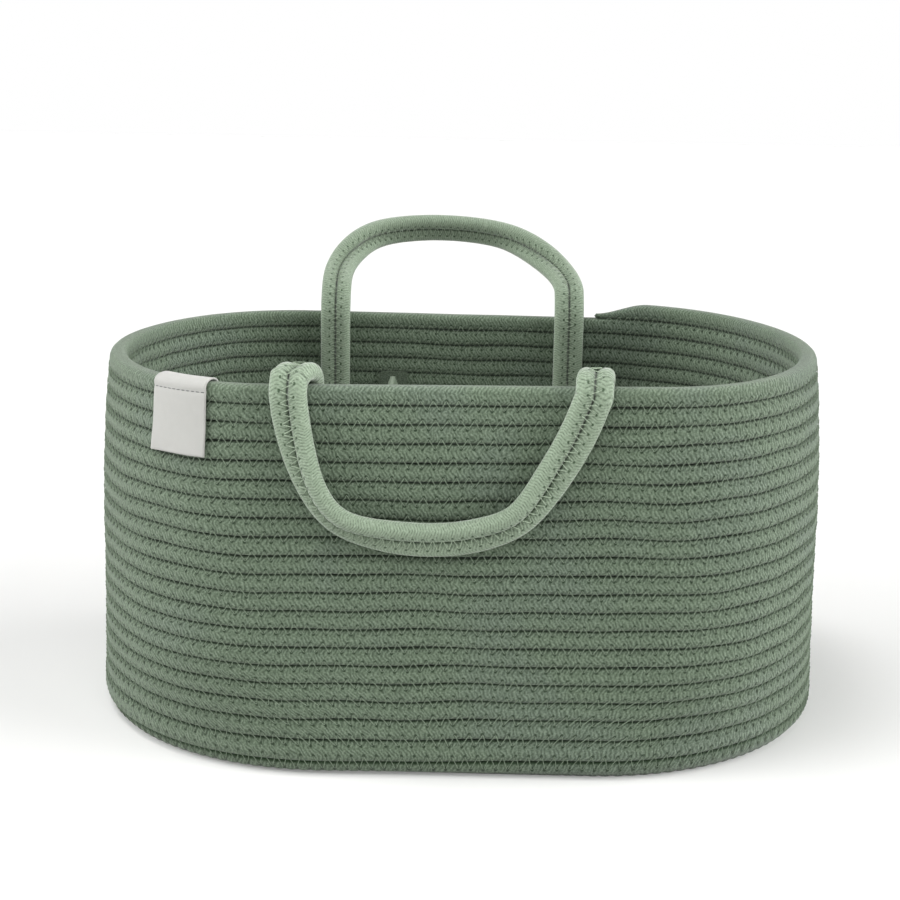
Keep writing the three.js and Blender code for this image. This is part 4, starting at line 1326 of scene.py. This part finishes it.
def build_flange(name, body, place, end, side):
    """The turned-out canvas strip that carries the hook tape, with rounded corners."""
    sizes = (FLANGE_WIDTH / 2, FLANGE_LOW, FLANGE_HIGH, FLANGE_RADIUS, FLANGE_RADIUS)
    across, z, depth = panel_grid(sizes, FLANGE_ROWS, FLANGE_COLUMNS)
    depth = np.maximum(0, np.minimum(depth, z - FLANGE_LOW))
    full = FLANGE_EDGE_SHARE + (1 - FLANGE_EDGE_SHARE) * smooth(depth / FLANGE_EDGE_WIDTH)
    groove = FLANGE_GROOVE * groove_at(depth, FLANGE_GROOVE_INSET, FLANGE_GROOVE_WIDTH)
    y = side * (DIVIDER_REACH - FLANGE_THICKNESS / 2)
    middle = np.stack([place + across, np.full(z.shape, y), z], -1)
    way = np.zeros(middle.shape)
    way[..., 1] = full - groove / (FLANGE_THICKNESS / 2)
    piece = sheet_piece(f"{name}_{end}_flange", middle, way, FLANGE_THICKNESS, z, across, CANVAS)
    finish_piece(piece, body)


def build_divider(name, place):
    body = name
    cover = build_cover(name, body, place)
    stitches = cover_stitches(name, body, place)
    for end, side in (("front", -1), ("rear", 1)):
        build_flange(name, body, place, end, side)


def dress_nodes():
    """Materials of the solids that stay: boards inside the dividers, and the tapes."""
    for side in ("left", "right"):
        paint(f"divider_{side}_board", CARDBOARD)
        for end in ("front", "rear"):
            paint(f"divider_{side}_{end}_hook_tape", HOOKS)
            paint(f"wall_{end}_loop_tape_{side}", LOOPS)


def paint(node, made):
    item = bpy.data.objects[node]
    item.data.materials.clear()
    item.data.materials.append(made)


# Stage, lamps and camera
SKY_LIGHT = 0.18
FLOOR_HALF = 6.0
FLOOR_COLOUR = (0.66, 0.66, 0.65)
FLOOR_GLOW = 0.20
# Far lamps: where each shines from, its strength and its spread in degrees
LAMPS = (
    ("key", (-0.28, -0.06, 0.95), 1.12, 20),
    ("left", (-0.94, -0.12, 0.29), 3.4, 60),
    ("right", (0.94, -0.13, 0.29), 4.8, 60),
)
# A near lamp above the front, which falls off towards the back
NEAR_LAMP_PLACE = (-0.06, -0.43, 0.48)
NEAR_LAMP_AIM = (0.0, -0.10, 0.10)
NEAR_LAMP_WIDTH = 0.35
NEAR_LAMP_POWER = 1.0


def build_stage():
    scene = bpy.context.scene
    scene.view_settings.view_transform = "Standard"
    camera = bpy.data.cameras.new("camera")
    camera.lens = CAMERA_LENS
    camera.sensor_width = SENSOR_WIDTH
    camera.clip_start = CAMERA_CLIP
    holder = placed("camera", camera)
    holder.matrix_world = (Matrix.Translation(CAMERA_PLACE)
                           @ Matrix.Rotation(math.pi / 2 - CAMERA_TILT, 4, "X")
                           @ Matrix.Rotation(CAMERA_ROLL, 4, "Z"))
    scene.camera = holder
    build_world()
    build_floor()
    for name, towards, strength, spread in LAMPS:
        lamp = bpy.data.lights.new(name, "SUN")
        lamp.energy = strength
        lamp.angle = math.radians(spread)
        placed(name, lamp).rotation_euler = facing(Vector(towards))
    near = bpy.data.lights.new("near", "AREA")
    near.shape = "DISK"
    near.size = NEAR_LAMP_WIDTH
    near.energy = NEAR_LAMP_POWER
    item = placed("near", near)
    item.location = NEAR_LAMP_PLACE
    item.rotation_euler = facing(Vector(NEAR_LAMP_PLACE) - Vector(NEAR_LAMP_AIM))


def placed(name, data):
    item = bpy.data.objects.new(name, data)
    bpy.context.scene.collection.objects.link(item)
    return item


def facing(away):
    """The turn of a lamp that shines from this direction."""
    return away.to_track_quat("Z", "Y").to_euler()


def build_world():
    """White where the camera looks past the object, and a dim even light on it."""
    world = bpy.data.worlds.new("studio")
    world.use_nodes = True
    bpy.context.scene.world = world
    g = Graph(world)
    background = world.node_tree.nodes["Background"]
    shown = g.node("ShaderNodeBackground")
    for item, strength in ((background, SKY_LIGHT), (shown, 1.0)):
        item.inputs["Color"].default_value = (1, 1, 1, 1)
        item.inputs["Strength"].default_value = strength
    path = g.node("ShaderNodeLightPath").outputs
    seen = g.math("MAXIMUM", path["Is Camera Ray"], path["Is Glossy Ray"])
    mix = g.node("ShaderNodeMixShader")
    g.link(g.math("MAXIMUM", seen, path["Is Transmission Ray"]), mix.inputs[0])
    g.link(background.outputs[0], mix.inputs[1])
    g.link(shown.outputs[0], mix.inputs[2])
    g.link(mix.outputs[0], world.node_tree.nodes["World Output"].inputs["Surface"])


def build_floor():
    corners = [(x * FLOOR_HALF, y * FLOOR_HALF, 0) for x, y in ((-1, -1), (1, -1), (1, 1), (-1, 1))]
    mesh = bpy.data.meshes.new("floor")
    mesh.from_pydata(corners, [], [(0, 1, 2, 3)])
    made, shader, g = material("floor", FLOOR_COLOUR, roughness=0.95)
    seen = g.node("ShaderNodeLightPath").outputs["Is Camera Ray"]
    shader.inputs["Specular IOR Level"].default_value = 0.0
    shader.inputs["Emission Color"].default_value = (1, 1, 1, 1)
    g.link(g.times(seen, FLOOR_GLOW), shader.inputs["Emission Strength"])
    mesh.materials.append(made)
    placed("floor", mesh)


build_stage()
build_basket()
for handle_name, handle_spec in HANDLES.items():
    build_handle(handle_name, handle_spec)
build_tag()
for divider_name, divider_place in DIVIDER_PLACES.items():
    build_divider(divider_name, divider_place)
dress_nodes()
